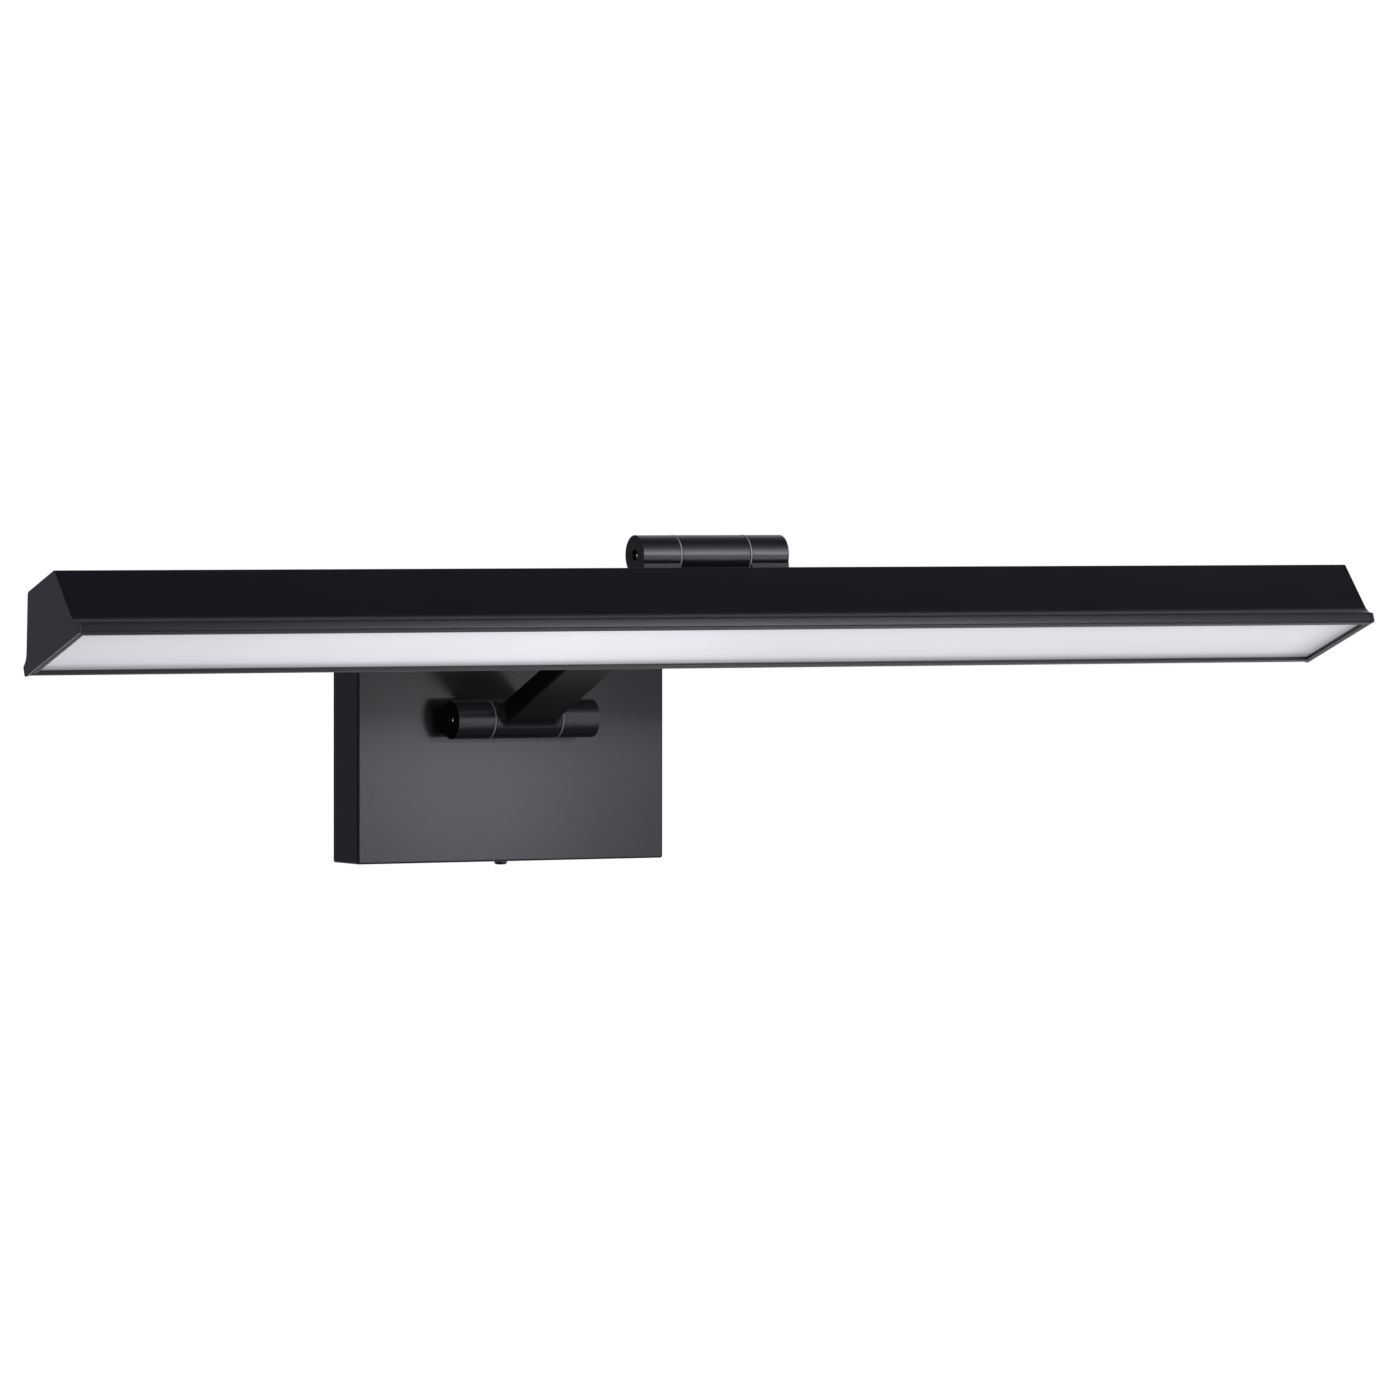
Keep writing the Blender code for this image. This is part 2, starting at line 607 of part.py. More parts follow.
def head_housing(material, frame):
    """The extruded housing. Two ribs under its top take the tray screws."""
    rib_inner = RIB_MIDDLE - RIB_WIDTH / 2
    rib_outer = RIB_MIDDLE + RIB_WIDTH / 2
    half = [(rib_inner, HOUSING_WALL), (rib_inner, RIB_DEPTH), (rib_outer, RIB_DEPTH),
            (rib_outer, HOUSING_WALL), (TOP_HALF - 0.9 * MM, HOUSING_WALL),
            (INNER_HALF, SLOPE_DEPTH), (INNER_HALF, FOOT_DEPTH)]
    section = mirrored(half + list(reversed(outer_profile())))
    builder = prism(head_outline(section), -HOUSING_HALF, HOUSING_HALF)
    housing = add_object("head_housing", builder, material, frame)
    high = -UPPER_AXIS_HEIGHT + 2 * MM
    low = -UPPER_AXIS_HEIGHT - HOUSING_WALL - 2 * MM
    for side in SIDES.values():
        for x in fixing_places(side):
            drill(housing, frame, low, high, 1.85 * MM, "Z", (x, 0))
    drill(housing, frame, low, high, LEAD_HOLE, "Z", (KNUCKLE_MIDDLE, 0))
    for x, u in tray_screw_places():
        drill(housing, frame, -UPPER_AXIS_HEIGHT - RIB_DEPTH - 2 * MM, -UPPER_AXIS_HEIGHT - 2.6 * MM,
              1.35 * MM, "Z", (x, -u), 12)
    return smooth(housing)


def tray_screw_places():
    """X and distance towards the front of each tray screw, on alternate ribs."""
    return [(x, RIB_MIDDLE if i % 2 else -RIB_MIDDLE) for i, x in enumerate(TRAY_SCREW_X)]


def end_plate(side_name, side, material, frame):
    """A plate with the full outside profile, and a tab that plugs into the housing."""
    section = mirrored(outer_profile() + [(FOOT_HALF, HEAD_DEPTH)])
    inner_face = side * HOUSING_HALF
    outer_face = side * HEAD_LENGTH / 2
    builder = prism(head_outline(section), inner_face, outer_face)
    rim = [e for e in builder.edges if all(abs(v.co.x - outer_face) < 1e-6 for v in e.verts)]
    bmesh.ops.bevel(builder, geom=rim, offset=0.8 * MM, segments=2, profile=0.5, affect="EDGES")
    plate = add_object(f"end_plate_{side_name}", builder, material, frame)
    tab_top = TRAY_TOP + GAP
    tab = mirrored([(12.9 * MM, tab_top), (INNER_HALF - 0.8 * MM, SLOPE_DEPTH),
                    (INNER_HALF - 0.8 * MM, FOOT_DEPTH - GAP)])
    tab_builder = prism(head_outline(tab), side * (HOUSING_HALF - 5 * MM), inner_face + side * 0.5 * MM)
    weld(plate, add_object("end_tab", tab_builder, None, frame))
    return smooth(plate)


def bezel_strip(name, direction, material, frame):
    """The strip below the flared foot: an outer lip, a groove and the flange under the diffuser."""
    top = FOOT_DEPTH + GAP
    slot = DIFFUSER_HALF + GAP
    section = [
        (FOOT_HALF, top), (FOOT_HALF, 30.2 * MM), (FOOT_HALF - 0.3 * MM, 30.6 * MM),
        (FOOT_HALF - 0.8 * MM, 30.6 * MM), (FOOT_HALF - 0.8 * MM, 29.6 * MM),
        (FOOT_HALF - 1.4 * MM, 29.6 * MM), (FOOT_HALF - 1.4 * MM, HEAD_DEPTH),
        (FLANGE_INNER, HEAD_DEPTH), (FLANGE_INNER, FLANGE_TOP),
        (FLANGE_INNER + 0.9 * MM, FLANGE_TOP), (FLANGE_INNER + 0.9 * MM, DIFFUSER_BOTTOM + GAP),
        (slot, DIFFUSER_BOTTOM + GAP), (slot, top),
    ]
    placed = [(direction * u, depth) for u, depth in section]
    half = HOUSING_HALF - 0.15 * MM
    return smooth(add_object(name, prism(head_outline(placed), -half, half), material, frame))


def bezel_end(side_name, side, material, frame):
    """The short strip under the diffuser's end, between the two long ones."""
    outer = HOUSING_HALF - 0.15 * MM
    inner = outer - BEZEL_END_WIDTH
    bottom = -UPPER_AXIS_HEIGHT - HEAD_DEPTH
    flange = -UPPER_AXIS_HEIGHT - FLANGE_TOP
    rest = -UPPER_AXIS_HEIGHT - DIFFUSER_BOTTOM - GAP
    section = [(inner, bottom), (outer, bottom), (outer, rest), (inner + 0.9 * MM, rest),
               (inner + 0.9 * MM, flange), (inner, flange)]
    half = FLANGE_INNER - GAP
    builder = prism([(side * x, z) for x, z in section], -half, half, "Y")
    return add_object(f"bezel_end_{side_name}", builder, material, frame)


def diffuser(material, frame):
    """The opal sheet."""
    half = HOUSING_HALF - 0.5 * MM
    return add_object("diffuser", block(
        (-half, -DIFFUSER_HALF, -UPPER_AXIS_HEIGHT - DIFFUSER_BOTTOM),
        (half, DIFFUSER_HALF, -UPPER_AXIS_HEIGHT - DIFFUSER_TOP)), material, frame)


def reflector_tray(materials, frame):
    """The white sheet-metal channel behind the diffuser, and its screws."""
    half_top = 11.5 * MM
    half_foot = 19.9 * MM
    bottom = FOOT_DEPTH - GAP
    half = [(half_top - 0.7 * MM, TRAY_TOP + TRAY_SHEET), (half_foot - 1.05 * MM, bottom),
            (half_foot, bottom), (half_top, TRAY_TOP)]
    half_length = HOUSING_HALF - 5.5 * MM
    builder = prism(head_outline(mirrored(half)), -half_length, half_length)
    tray = add_object("reflector_tray", builder, materials["white"], frame)
    seat = -UPPER_AXIS_HEIGHT - TRAY_TOP - TRAY_SHEET
    for number, (x, u) in enumerate(tray_screw_places(), 1):
        drill(tray, frame, seat - 1 * MM, seat + 2 * MM, 1.5 * MM, "Z", (x, -u), 12)
        button_screw(f"tray_screw_{number}", seat - GAP, 1, 4.2 * MM, (x, -u), "Z",
                     materials["steel"], frame, (2.2 * MM, 1.5 * MM, 1.1 * MM))
    return tray


def led_board(material, frame):
    """The aluminium-backed board with a row of LED packages, as one solid."""
    top = -UPPER_AXIS_HEIGHT - TRAY_TOP - TRAY_SHEET - GAP
    bottom = top - BOARD_THICKNESS
    chip_half = 1.75 * MM
    chip_height = 0.8 * MM
    end = LED_COUNT * LED_PITCH / 2
    outline = [(-end, top), (-end, bottom)]
    for i in range(LED_COUNT):
        x = (i - (LED_COUNT - 1) / 2) * LED_PITCH
        outline += [(x - chip_half, bottom), (x - chip_half, bottom - chip_height),
                    (x + chip_half, bottom - chip_height), (x + chip_half, bottom)]
    outline += [(end, bottom), (end, top)]
    board = add_object("led_board", prism(outline, -chip_half, chip_half, "Y"), material, frame)
    for side in (-1, 1):
        near = side * (chip_half - 0.5 * MM)
        far = side * BOARD_HALF
        strip = block((-end, min(near, far), bottom), (end, max(near, far), top))
        weld(board, add_object("board_side", strip, None, frame))
    return board


def head_leads(materials, frame):
    """The lead from the upper hinge and the connector on top of the tray."""
    level = -UPPER_AXIS_HEIGHT - 3.9 * MM
    aside = -4.4 * MM
    connector_x = 38 * MM
    corners = [(LEAD_JOINT, 0, 0), (KNUCKLE_MIDDLE, 0, 0), (KNUCKLE_MIDDLE, 0, level),
               (KNUCKLE_MIDDLE, aside, level), (connector_x, aside, level)]
    add_lead("head_lead", rounded_route(corners, 2 * MM), LEAD_RADIUS, materials["lead"], frame)
    low = (connector_x + GAP, -5.9 * MM, -UPPER_AXIS_HEIGHT - TRAY_TOP + GAP)
    high = (connector_x + 9 * MM, 1 * MM, -UPPER_AXIS_HEIGHT - HOUSING_WALL - 0.5 * MM)
    add_object("board_connector", block(low, high), materials["plastic"], frame)


def head(materials, frame):
    """The lamp head, without its hinge."""
    head_housing(materials["black"], frame)
    for side_name, side in SIDES.items():
        end_plate(side_name, side, materials["black"], frame)
        bezel_end(side_name, side, materials["black"], frame)
    bezel_strip("bezel_front", 1, materials["black"], frame)
    bezel_strip("bezel_back", -1, materials["black"], frame)
    diffuser(materials["opal"], frame)
    reflector_tray(materials, frame)
    led_board(materials["board"], frame)
    head_leads(materials, frame)


# ---------------------------------------------------------------- assembly

def main():
    for thing in list(bpy.data.objects):
        bpy.data.objects.remove(thing)
    materials = make_materials()

    wall = add_frame("wall_frame", (0, 0, 0), 0)
    lower_seat = add_frame("lower_seat", (0, LOWER_AXIS_Y, 0), 90, wall)
    arm_frame = add_frame("lower_hinge", (0, LOWER_AXIS_Y, 0), -ARM_ELEVATION, wall)
    arm_end = add_frame("arm_end", (0, -ARM_LENGTH, 0), 0, arm_frame)
    head_frame = add_frame("upper_hinge", (0, -ARM_LENGTH, 0), ARM_ELEVATION - HEAD_TILT, arm_frame)

    canopy(materials, wall, lower_seat)
    hinge_seat("lower", lower_seat, LOWER_AXIS_HEIGHT, COVER_WALL, materials)
    arm_body(materials, arm_frame, arm_end)
    hinge_seat("upper", head_frame, UPPER_AXIS_HEIGHT, HOUSING_WALL, materials)
    head(materials, head_frame)
    bpy.context.view_layer.update()


main()
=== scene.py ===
"""Looks of the wall-mounted picture light: detailed visible pieces and their materials.

X runs to the right along the lamp head, Y into the wall and Z up. Lengths are in millimetres
unless a comment says metres.
"""

import json
import math

import bmesh
import bpy
from mathutils import Euler, Matrix, Vector


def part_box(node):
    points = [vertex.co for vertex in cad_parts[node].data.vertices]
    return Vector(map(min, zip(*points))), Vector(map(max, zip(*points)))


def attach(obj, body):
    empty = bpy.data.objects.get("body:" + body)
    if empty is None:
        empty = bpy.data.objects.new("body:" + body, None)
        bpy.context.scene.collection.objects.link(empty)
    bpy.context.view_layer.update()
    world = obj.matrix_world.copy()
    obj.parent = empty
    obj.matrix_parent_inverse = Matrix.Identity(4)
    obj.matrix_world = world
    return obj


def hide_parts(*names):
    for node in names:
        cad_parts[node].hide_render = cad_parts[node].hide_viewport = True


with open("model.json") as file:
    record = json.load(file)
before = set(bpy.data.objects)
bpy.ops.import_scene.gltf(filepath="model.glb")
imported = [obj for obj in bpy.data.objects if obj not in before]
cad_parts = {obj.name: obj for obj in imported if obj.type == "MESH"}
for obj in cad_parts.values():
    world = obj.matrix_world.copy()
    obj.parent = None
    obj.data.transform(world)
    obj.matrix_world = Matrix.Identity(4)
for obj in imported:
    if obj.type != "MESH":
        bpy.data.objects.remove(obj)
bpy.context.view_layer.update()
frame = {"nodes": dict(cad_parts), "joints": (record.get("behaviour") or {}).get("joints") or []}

MM = 0.001                      # in metres
MICRON = 0.000001               # in metres

# Hinges
BARREL_RADIUS = 8.3
CENTRE_HALF = 16.05             # half the length of the arm's knuckles
KNUCKLE_INNER = 16.95
KNUCKLE_OUTER = 34.35
KNUCKLE_MIDDLE = (KNUCKLE_INNER + KNUCKLE_OUTER) / 2
FOOT_HALF_WIDTH = 6.0
SCREW_BORE_RADIUS = 2.15
LOWER_AXIS_HEIGHT = 8.9         # of the axis above the front of the canopy
UPPER_AXIS_HEIGHT = 10.1        # of the axis above the top of the head

# Arm
ARM_LENGTH = 184.4              # between the hinge axes
ARM_ELEVATION = 23.25           # in degrees
ARM_HALF_WIDTH = 12.25
ARM_HALF_THICKNESS = 4.7
ARM_EDGE = 1.2                  # radius of the bar's edges
ARM_FILLET = 3.8                # radius of the fillets between the bar and its knuckles
BURIED_DEPTH = 0.35             # how far the bar's ends run on towards the knuckles' axes
BURIED_WIDTH = 0.6              # and how much they narrow, both as shares

# Lamp head: half widths, and depths below its top
HEAD_TILT = 19.4                # in degrees
TOP_HALF = 13.8
SLOPE_HALF = 23.0
SLOPE_DEPTH = 22.4
FOOT_HALF = 28.2
FOOT_DEPTH = 26.9
HEAD_DEPTH = 31.0
TRIM_DEPTH = FOOT_DEPTH + 0.3   # top of the bezels and of the diffuser
DIFFUSER_DEPTH = 29.0
LEDGE_DEPTH = 29.3              # top of the bezel's ledge under the diffuser
FLANGE_DEPTH = 30.0             # top of the thin flange inside the ledge
FLANGE_TIP = 23.9
LEDGE_TIP = 24.8

# Lamp head: half lengths
HEAD_HALF = 305.0
HOUSING_HALF = 303.5
BEZEL_HALF = HOUSING_HALF - 0.15
DIFFUSER_HALF = 303.0

# Canopy
COVER_WALL = 1.6
COVER_SCREW_Y = -13.0
COVER_SCREW_SEAT = 62.3         # height of the heads' undersides, above and below the middle

SIDES = (("left", -1), ("right", 1))


def joint_place(name):
    """Where a joint's axis is, in millimetres."""
    for joint in frame["joints"]:
        if joint["name"] == name:
            return Vector(joint["pos_m"]) / MM
    raise ValueError(name)


def local_frame(place, rotation_x):
    """The matrix of a frame at a place in millimetres, turned about X by degrees."""
    turn = Euler((math.radians(rotation_x), 0, 0)).to_matrix().to_4x4()
    return Matrix.Translation(Vector(place) * MM) @ turn


LOWER = joint_place("lower_hinge")
UPPER = joint_place("upper_hinge")
WALL_FRAME = local_frame((0, 0, 0), 0)
SEAT_FRAME = local_frame(LOWER, 90)
ARM_FRAME = local_frame(LOWER, -ARM_ELEVATION)
HEAD_FRAME = local_frame(UPPER, -HEAD_TILT)


# ---------------------------------------------------------------- mesh helpers

def new_mesh(name, builder, matrix):
    """A bmesh in millimetres becomes an object in metres, placed by a frame's matrix."""
    bmesh.ops.recalc_face_normals(builder, faces=builder.faces)
    bmesh.ops.scale(builder, vec=(MM, MM, MM), verts=builder.verts)
    mesh = bpy.data.meshes.new(name)
    builder.to_mesh(mesh)
    builder.free()
    thing = bpy.data.objects.new(name, mesh)
    thing.matrix_world = matrix
    bpy.context.scene.collection.objects.link(thing)
    return thing


def point(axis, along, first, second):
    """The point at a distance along an axis, with the two coordinates across it."""
    if axis == "X":
        return Vector((along, first, second))
    if axis == "Y":
        return Vector((first, along, second))
    return Vector((first, second, along))


def arc(centre, radius, start, end, steps):
    """Points on an arc, between two angles in degrees, both ends included."""
    points = []
    for i in range(steps + 1):
        angle = math.radians(start + (end - start) * i / steps)
        points.append((centre[0] + radius * math.cos(angle), centre[1] + radius * math.sin(angle)))
    return points


def tangent_arc(start, before, end, steps):
    """Points of the arc that leaves start in the direction from before and ends at end."""
    heading = math.atan2(start[1] - before[1], start[0] - before[0])
    chord = math.atan2(end[1] - start[1], end[0] - start[0])
    half = math.hypot(end[0] - start[0], end[1] - start[1]) / 2
    turn = chord - heading
    radius = half / math.sin(turn)
    centre = (start[0] - radius * math.sin(heading), start[1] + radius * math.cos(heading))
    first = math.degrees(heading - math.pi / 2)
    return arc(centre, radius, first, first + math.degrees(2 * turn), steps)


def rounded(outline, radii, steps=4):
    """A closed outline with its corners rounded. radii gives each corner's radius, or 0."""
    result = []
    count = len(outline)
    for i, radius in enumerate(radii):
        corner = Vector(outline[i])
        before = (Vector(outline[i - 1]) - corner).normalized()
        after = (Vector(outline[(i + 1) % count]) - corner).normalized()
        if radius == 0:
            result.append(tuple(corner))
            continue
        half = math.acos(max(-1, min(1, before.dot(after)))) / 2
        reach = radius / math.tan(half)
        centre = corner + (before + after).normalized() * (radius / math.sin(half))
        start = corner + before * reach - centre
        end = corner + after * reach - centre
        first = math.atan2(start.y, start.x)
        sweep = math.atan2(end.y, end.x) - first
        sweep = (sweep + math.pi) % (2 * math.pi) - math.pi
        for k in range(steps + 1):
            angle = first + sweep * k / steps
            result.append((centre.x + radius * math.cos(angle), centre.y + radius * math.sin(angle)))
    return result


def mirrored(half):
    """Half an outline, completed by its mirror image in the second axis."""
    return half + [(-a, b) for a, b in reversed(half)]


def prism(outline, start, end, axis="X"):
    """A closed outline carried along an axis."""
    builder = bmesh.new()
    first = [builder.verts.new(point(axis, start, a, b)) for a, b in outline]
    last = [builder.verts.new(point(axis, end, a, b)) for a, b in outline]
    count = len(outline)
    for i in range(count):
        j = (i + 1) % count
        builder.faces.new((first[i], first[j], last[j], last[i]))
    builder.faces.new(first)
    builder.faces.new(last)
    return builder


def block(low, high):
    """A box between two corners."""
    outline = [(low[1], low[2]), (high[1], low[2]), (high[1], high[2]), (low[1], high[2])]
    return prism(outline, low[0], high[0])


def lathe(rings, axis="X", centre=(0, 0), closed=False, segments=72):
    """A turned solid. Each ring is (distance along the axis, radius) or (distance, radius, "hex").

    A hexagon's radius is half its width across flats. closed joins the last ring to the first.
    """
    builder = bmesh.new()
    loops = []
    sixth = math.pi / 3
    for ring in rings:
        loop = []
        for i in range(segments):
            angle = 2 * math.pi * i / segments
            radius = ring[1]
            if len(ring) == 3:
                radius /= math.cos((angle % sixth) - sixth / 2)
            first = centre[0] + radius * math.cos(angle)
            second = centre[1] + radius * math.sin(angle)
            loop.append(builder.verts.new(point(axis, ring[0], first, second)))
        loops.append(loop)
    pairs = list(zip(loops, loops[1:]))
    if closed:
        pairs.append((loops[-1], loops[0]))
    else:
        builder.faces.new(loops[0])
        builder.faces.new(loops[-1])
    for lower, upper in pairs:
        for i in range(segments):
            j = (i + 1) % segments
            builder.faces.new((lower[i], lower[j], upper[j], upper[i]))
    return builder


def soften(thing, angle=32):
    """Smooth shading, but with edges sharper than the angle in degrees kept sharp."""
    thing.data.shade_smooth()
    thing.data.set_sharp_from_angle(angle=math.radians(angle))
    return thing


def apply_modifiers(thing):
    """Replaces an object's mesh by its evaluated mesh and removes the tools of its modifiers."""
    bpy.context.view_layer.update()
    evaluated = thing.evaluated_get(bpy.context.evaluated_depsgraph_get())
    mesh = bpy.data.meshes.new_from_object(evaluated)
    tools = [modifier.object for modifier in thing.modifiers]
    thing.modifiers.clear()
    old = thing.data
    thing.data = mesh
    mesh.name = thing.name
    bpy.data.meshes.remove(old)
    for tool in tools:
        bpy.data.objects.remove(tool)


def boolean(thing, tool, operation):
    """Adds a boolean with another object, which apply_modifiers carries out."""
    modifier = thing.modifiers.new(operation, "BOOLEAN")
    modifier.operation = operation
    modifier.solver = "EXACT"
    modifier.object = tool


def clean(thing):
    """Merges the doubles and dissolves the slivers that a boolean can leave."""
    builder = bmesh.new()
    builder.from_mesh(thing.data)
    bmesh.ops.remove_doubles(builder, verts=builder.verts, dist=0.012 * MM)
    bmesh.ops.dissolve_degenerate(builder, edges=builder.edges, dist=0.001 * MM)
    builder.to_mesh(thing.data)
    builder.free()
    return thing


def end_rims(builder):
    """The edges round the two ends of a prism that runs along X."""
    return [e for e in builder.edges if abs(e.verts[0].co.x - e.verts[1].co.x) < 1e-6]


def bevel(builder, edges, offset, segments):
    """Rounds edges. The offset is how far the rounding reaches."""
    bmesh.ops.bevel(builder, geom=edges, offset=offset, segments=segments, profile=0.5,
                    affect="EDGES")


def bake(thing):
    """Moves an object's placement into its mesh, so that its bounding box has no empty corners."""
    thing.data.transform(thing.matrix_world)
    thing.matrix_world = Matrix()


def weighted_normals(thing):
    """Keeps large flat faces evenly shaded beside small rounded edges."""
    modifier = thing.modifiers.new("normals", "WEIGHTED_NORMAL")
    modifier.keep_sharp = True
    modifier.weight = 90


# ---------------------------------------------------------------- materials

class Nodes:
    """Short names for building the node tree of a new material."""

    def __init__(self, name):
        self.material = bpy.data.materials.new(name)
        self.material.use_nodes = True
        self.tree = self.material.node_tree
        self.shader = self.tree.nodes["Principled BSDF"]
        self.place = self.add("ShaderNodeTexCoord").outputs["Object"]

    def add(self, kind, **settings):
        """A new node with some of its settings."""
        node = self.tree.nodes.new(kind)
        for key, value in settings.items():
            setattr(node, key, value)
        return node

    def link(self, source, target):
        """Joins an output to an input."""
        self.tree.links.new(source, target)

    def noise(self, scale, detail=3.0, roughness=0.55, stretch=None):
        """A noise texture in object space; scale is in cells per metre."""
        source = self.place
        if stretch:
            mapping = self.add("ShaderNodeMapping")
            mapping.inputs["Scale"].default_value = stretch
            self.link(source, mapping.inputs["Vector"])
            source = mapping.outputs["Vector"]
        texture = self.add("ShaderNodeTexNoise")
        texture.inputs["Scale"].default_value = scale
        texture.inputs["Detail"].default_value = detail
        texture.inputs["Roughness"].default_value = roughness
        self.link(source, texture.inputs["Vector"])
        return texture.outputs["Fac"]

    def ramp(self, source, low, high, start=0.3, end=0.7):
        """A colour that follows the source between two colours."""
        node = self.add("ShaderNodeValToRGB")
        first, last = node.color_ramp.elements
        first.position = start
        first.color = (*low, 1)
        last.position = end
        last.color = (*high, 1)
        self.link(source, node.inputs["Fac"])
        return node.outputs["Color"]

    def range(self, source, low, high, start=0.3, end=0.7):
        """A number that follows the source between two values."""
        node = self.add("ShaderNodeMapRange")
        node.inputs["From Min"].default_value = start
        node.inputs["From Max"].default_value = end
        node.inputs["To Min"].default_value = low
        node.inputs["To Max"].default_value = high
        self.link(source, node.inputs["Value"])
        return node.outputs["Result"]

    def mix(self, factor, first, second, blend="MIX"):
        """Two outputs mixed as colours, by a constant factor."""
        node = self.add("ShaderNodeMix", data_type="RGBA", blend_type=blend)
        node.inputs[0].default_value = factor
        self.link(first, node.inputs[6])
        self.link(second, node.inputs[7])
        return node.outputs[2]

    def multiply(self, first, second):
        """The product of two outputs, as colours."""
        return self.mix(1.0, first, second, "MULTIPLY")

    def bump(self, source, microns, normal=None):
        """Relief that follows the source, on top of another bump if there is one."""
        node = self.add("ShaderNodeBump")
        node.inputs["Strength"].default_value = 1.0
        node.inputs["Distance"].default_value = microns * MICRON
        self.link(source, node.inputs["Height"])
        if normal:
            self.link(normal, node.inputs["Normal"])
        return node.outputs["Normal"]


def coat(name, dark, light, roughness, specular, grain=1.5):
    """Satin powder coat: a fine pebbled grain, with faint clouds in its colour and gloss.

    roughness is its lowest and highest value, and grain is the relief in microns.
    """
    n = Nodes(name)
    clouds = n.noise(22, 4)
    grains = n.noise(2600, 2, 0.5)
    pebbles = n.noise(900, 2, 0.5)
    colour = n.ramp(clouds, dark, light, 0.15, 0.85)
    speck = n.range(grains, 0.93, 1.07)
    n.link(n.multiply(colour, speck), n.shader.inputs["Base Color"])
    n.link(n.range(clouds, *roughness, 0.15, 0.85), n.shader.inputs["Roughness"])
    fine = n.bump(grains, grain)
    n.link(n.bump(pebbles, 1.6 * grain, fine), n.shader.inputs["Normal"])
    n.shader.inputs["Specular IOR Level"].default_value = specular
    return n.material


def metal(name, dark, light, roughness, stretch=(1, 1, 1), scale=1500):
    """Machined or plated metal with fine tool marks."""
    n = Nodes(name)
    marks = n.noise(scale, 3, 0.6, stretch)
    clouds = n.noise(60, 3)
    tone = n.mix(0.5, n.ramp(marks, dark, light), n.ramp(clouds, dark, light))
    n.link(tone, n.shader.inputs["Base Color"])
    n.link(n.range(marks, *roughness), n.shader.inputs["Roughness"])
    n.link(n.bump(marks, 3), n.shader.inputs["Normal"])
    n.shader.inputs["Metallic"].default_value = 1.0
    return n.material


def plastic(name, dark, light, roughness):
    """Moulded plastic with a fine spark-eroded grain."""
    n = Nodes(name)
    clouds = n.noise(45, 3)
    grains = n.noise(1800, 2, 0.5)
    speck = n.range(grains, 0.94, 1.05)
    n.link(n.multiply(n.ramp(clouds, dark, light), speck), n.shader.inputs["Base Color"])
    n.link(n.range(grains, *roughness), n.shader.inputs["Roughness"])
    n.link(n.bump(grains, 6), n.shader.inputs["Normal"])
    return n.material


# Painted highlight and shade along the diffuser: brightness at its two ends, and (place, brightness)
# between
PAINTED_LIGHT_ENDS = (0.72, 0.56)
PAINTED_LIGHT_STOPS = ((0.24, 0.91), (0.38, 0.96), (0.55, 0.82), (0.975, 0.77))
PAINTED_LIGHT_HALF_LENGTH = 0.3          # in metres
BACK_SHADE_DARKEST = 0.0255               # in metres, in the sheet's Y: the painted shade along the back edge is darkest beyond this
BACK_SHADE_CLEAR = 0.0175              # and gone up to this
BACK_SHADE_LEVEL = 0.60


def opal_material():
    """Frosted opal acrylic, lit from behind by the lamp, so that it glows. Its colour and emission
    carry painted light: a painted highlight left of the middle, and painted shade towards the ends
    and along the back edge, where the recess shades it."""
    n = Nodes("opal_acrylic")
    frost = n.noise(2200, 2, 0.5)
    clouds = n.noise(14, 2)
    split = n.add("ShaderNodeSeparateXYZ")
    n.link(n.place, split.inputs["Vector"])
    # Painted highlight left of the middle and painted shade towards the ends, along the sheet's X.
    along = n.add("ShaderNodeValToRGB")
    place = n.range(split.outputs["X"], 0.0, 1.0, -PAINTED_LIGHT_HALF_LENGTH, PAINTED_LIGHT_HALF_LENGTH)
    n.link(place, along.inputs["Fac"])
    glow = along.color_ramp.elements
    for end, level in zip(glow, PAINTED_LIGHT_ENDS):
        end.color = (level, level, level, 1)
    for position, level in PAINTED_LIGHT_STOPS:
        glow.new(position).color = (level, level, level, 1)
    # Painted shade along the back edge, where the recess shades the sheet.
    back = n.add("ShaderNodeMapRange", interpolation_type="SMOOTHSTEP")
    back.inputs["From Min"].default_value = BACK_SHADE_DARKEST
    back.inputs["From Max"].default_value = BACK_SHADE_CLEAR
    back.inputs["To Min"].default_value = BACK_SHADE_LEVEL
    n.link(split.outputs["Y"], back.inputs["Value"])
    tone = n.ramp(clouds, (0.92, 0.90, 0.93), (0.96, 0.94, 0.97))
    # The painted highlight and shade go into both the colour and the emission.
    tone = n.multiply(n.multiply(tone, along.outputs["Color"]), back.outputs["Result"])
    n.link(tone, n.shader.inputs["Base Color"])
    n.link(tone, n.shader.inputs["Emission Color"])
    n.shader.inputs["Emission Strength"].default_value = 0.58
    n.link(n.range(frost, 0.38, 0.48), n.shader.inputs["Roughness"])
    n.link(n.bump(frost, 3), n.shader.inputs["Normal"])
    return n.material


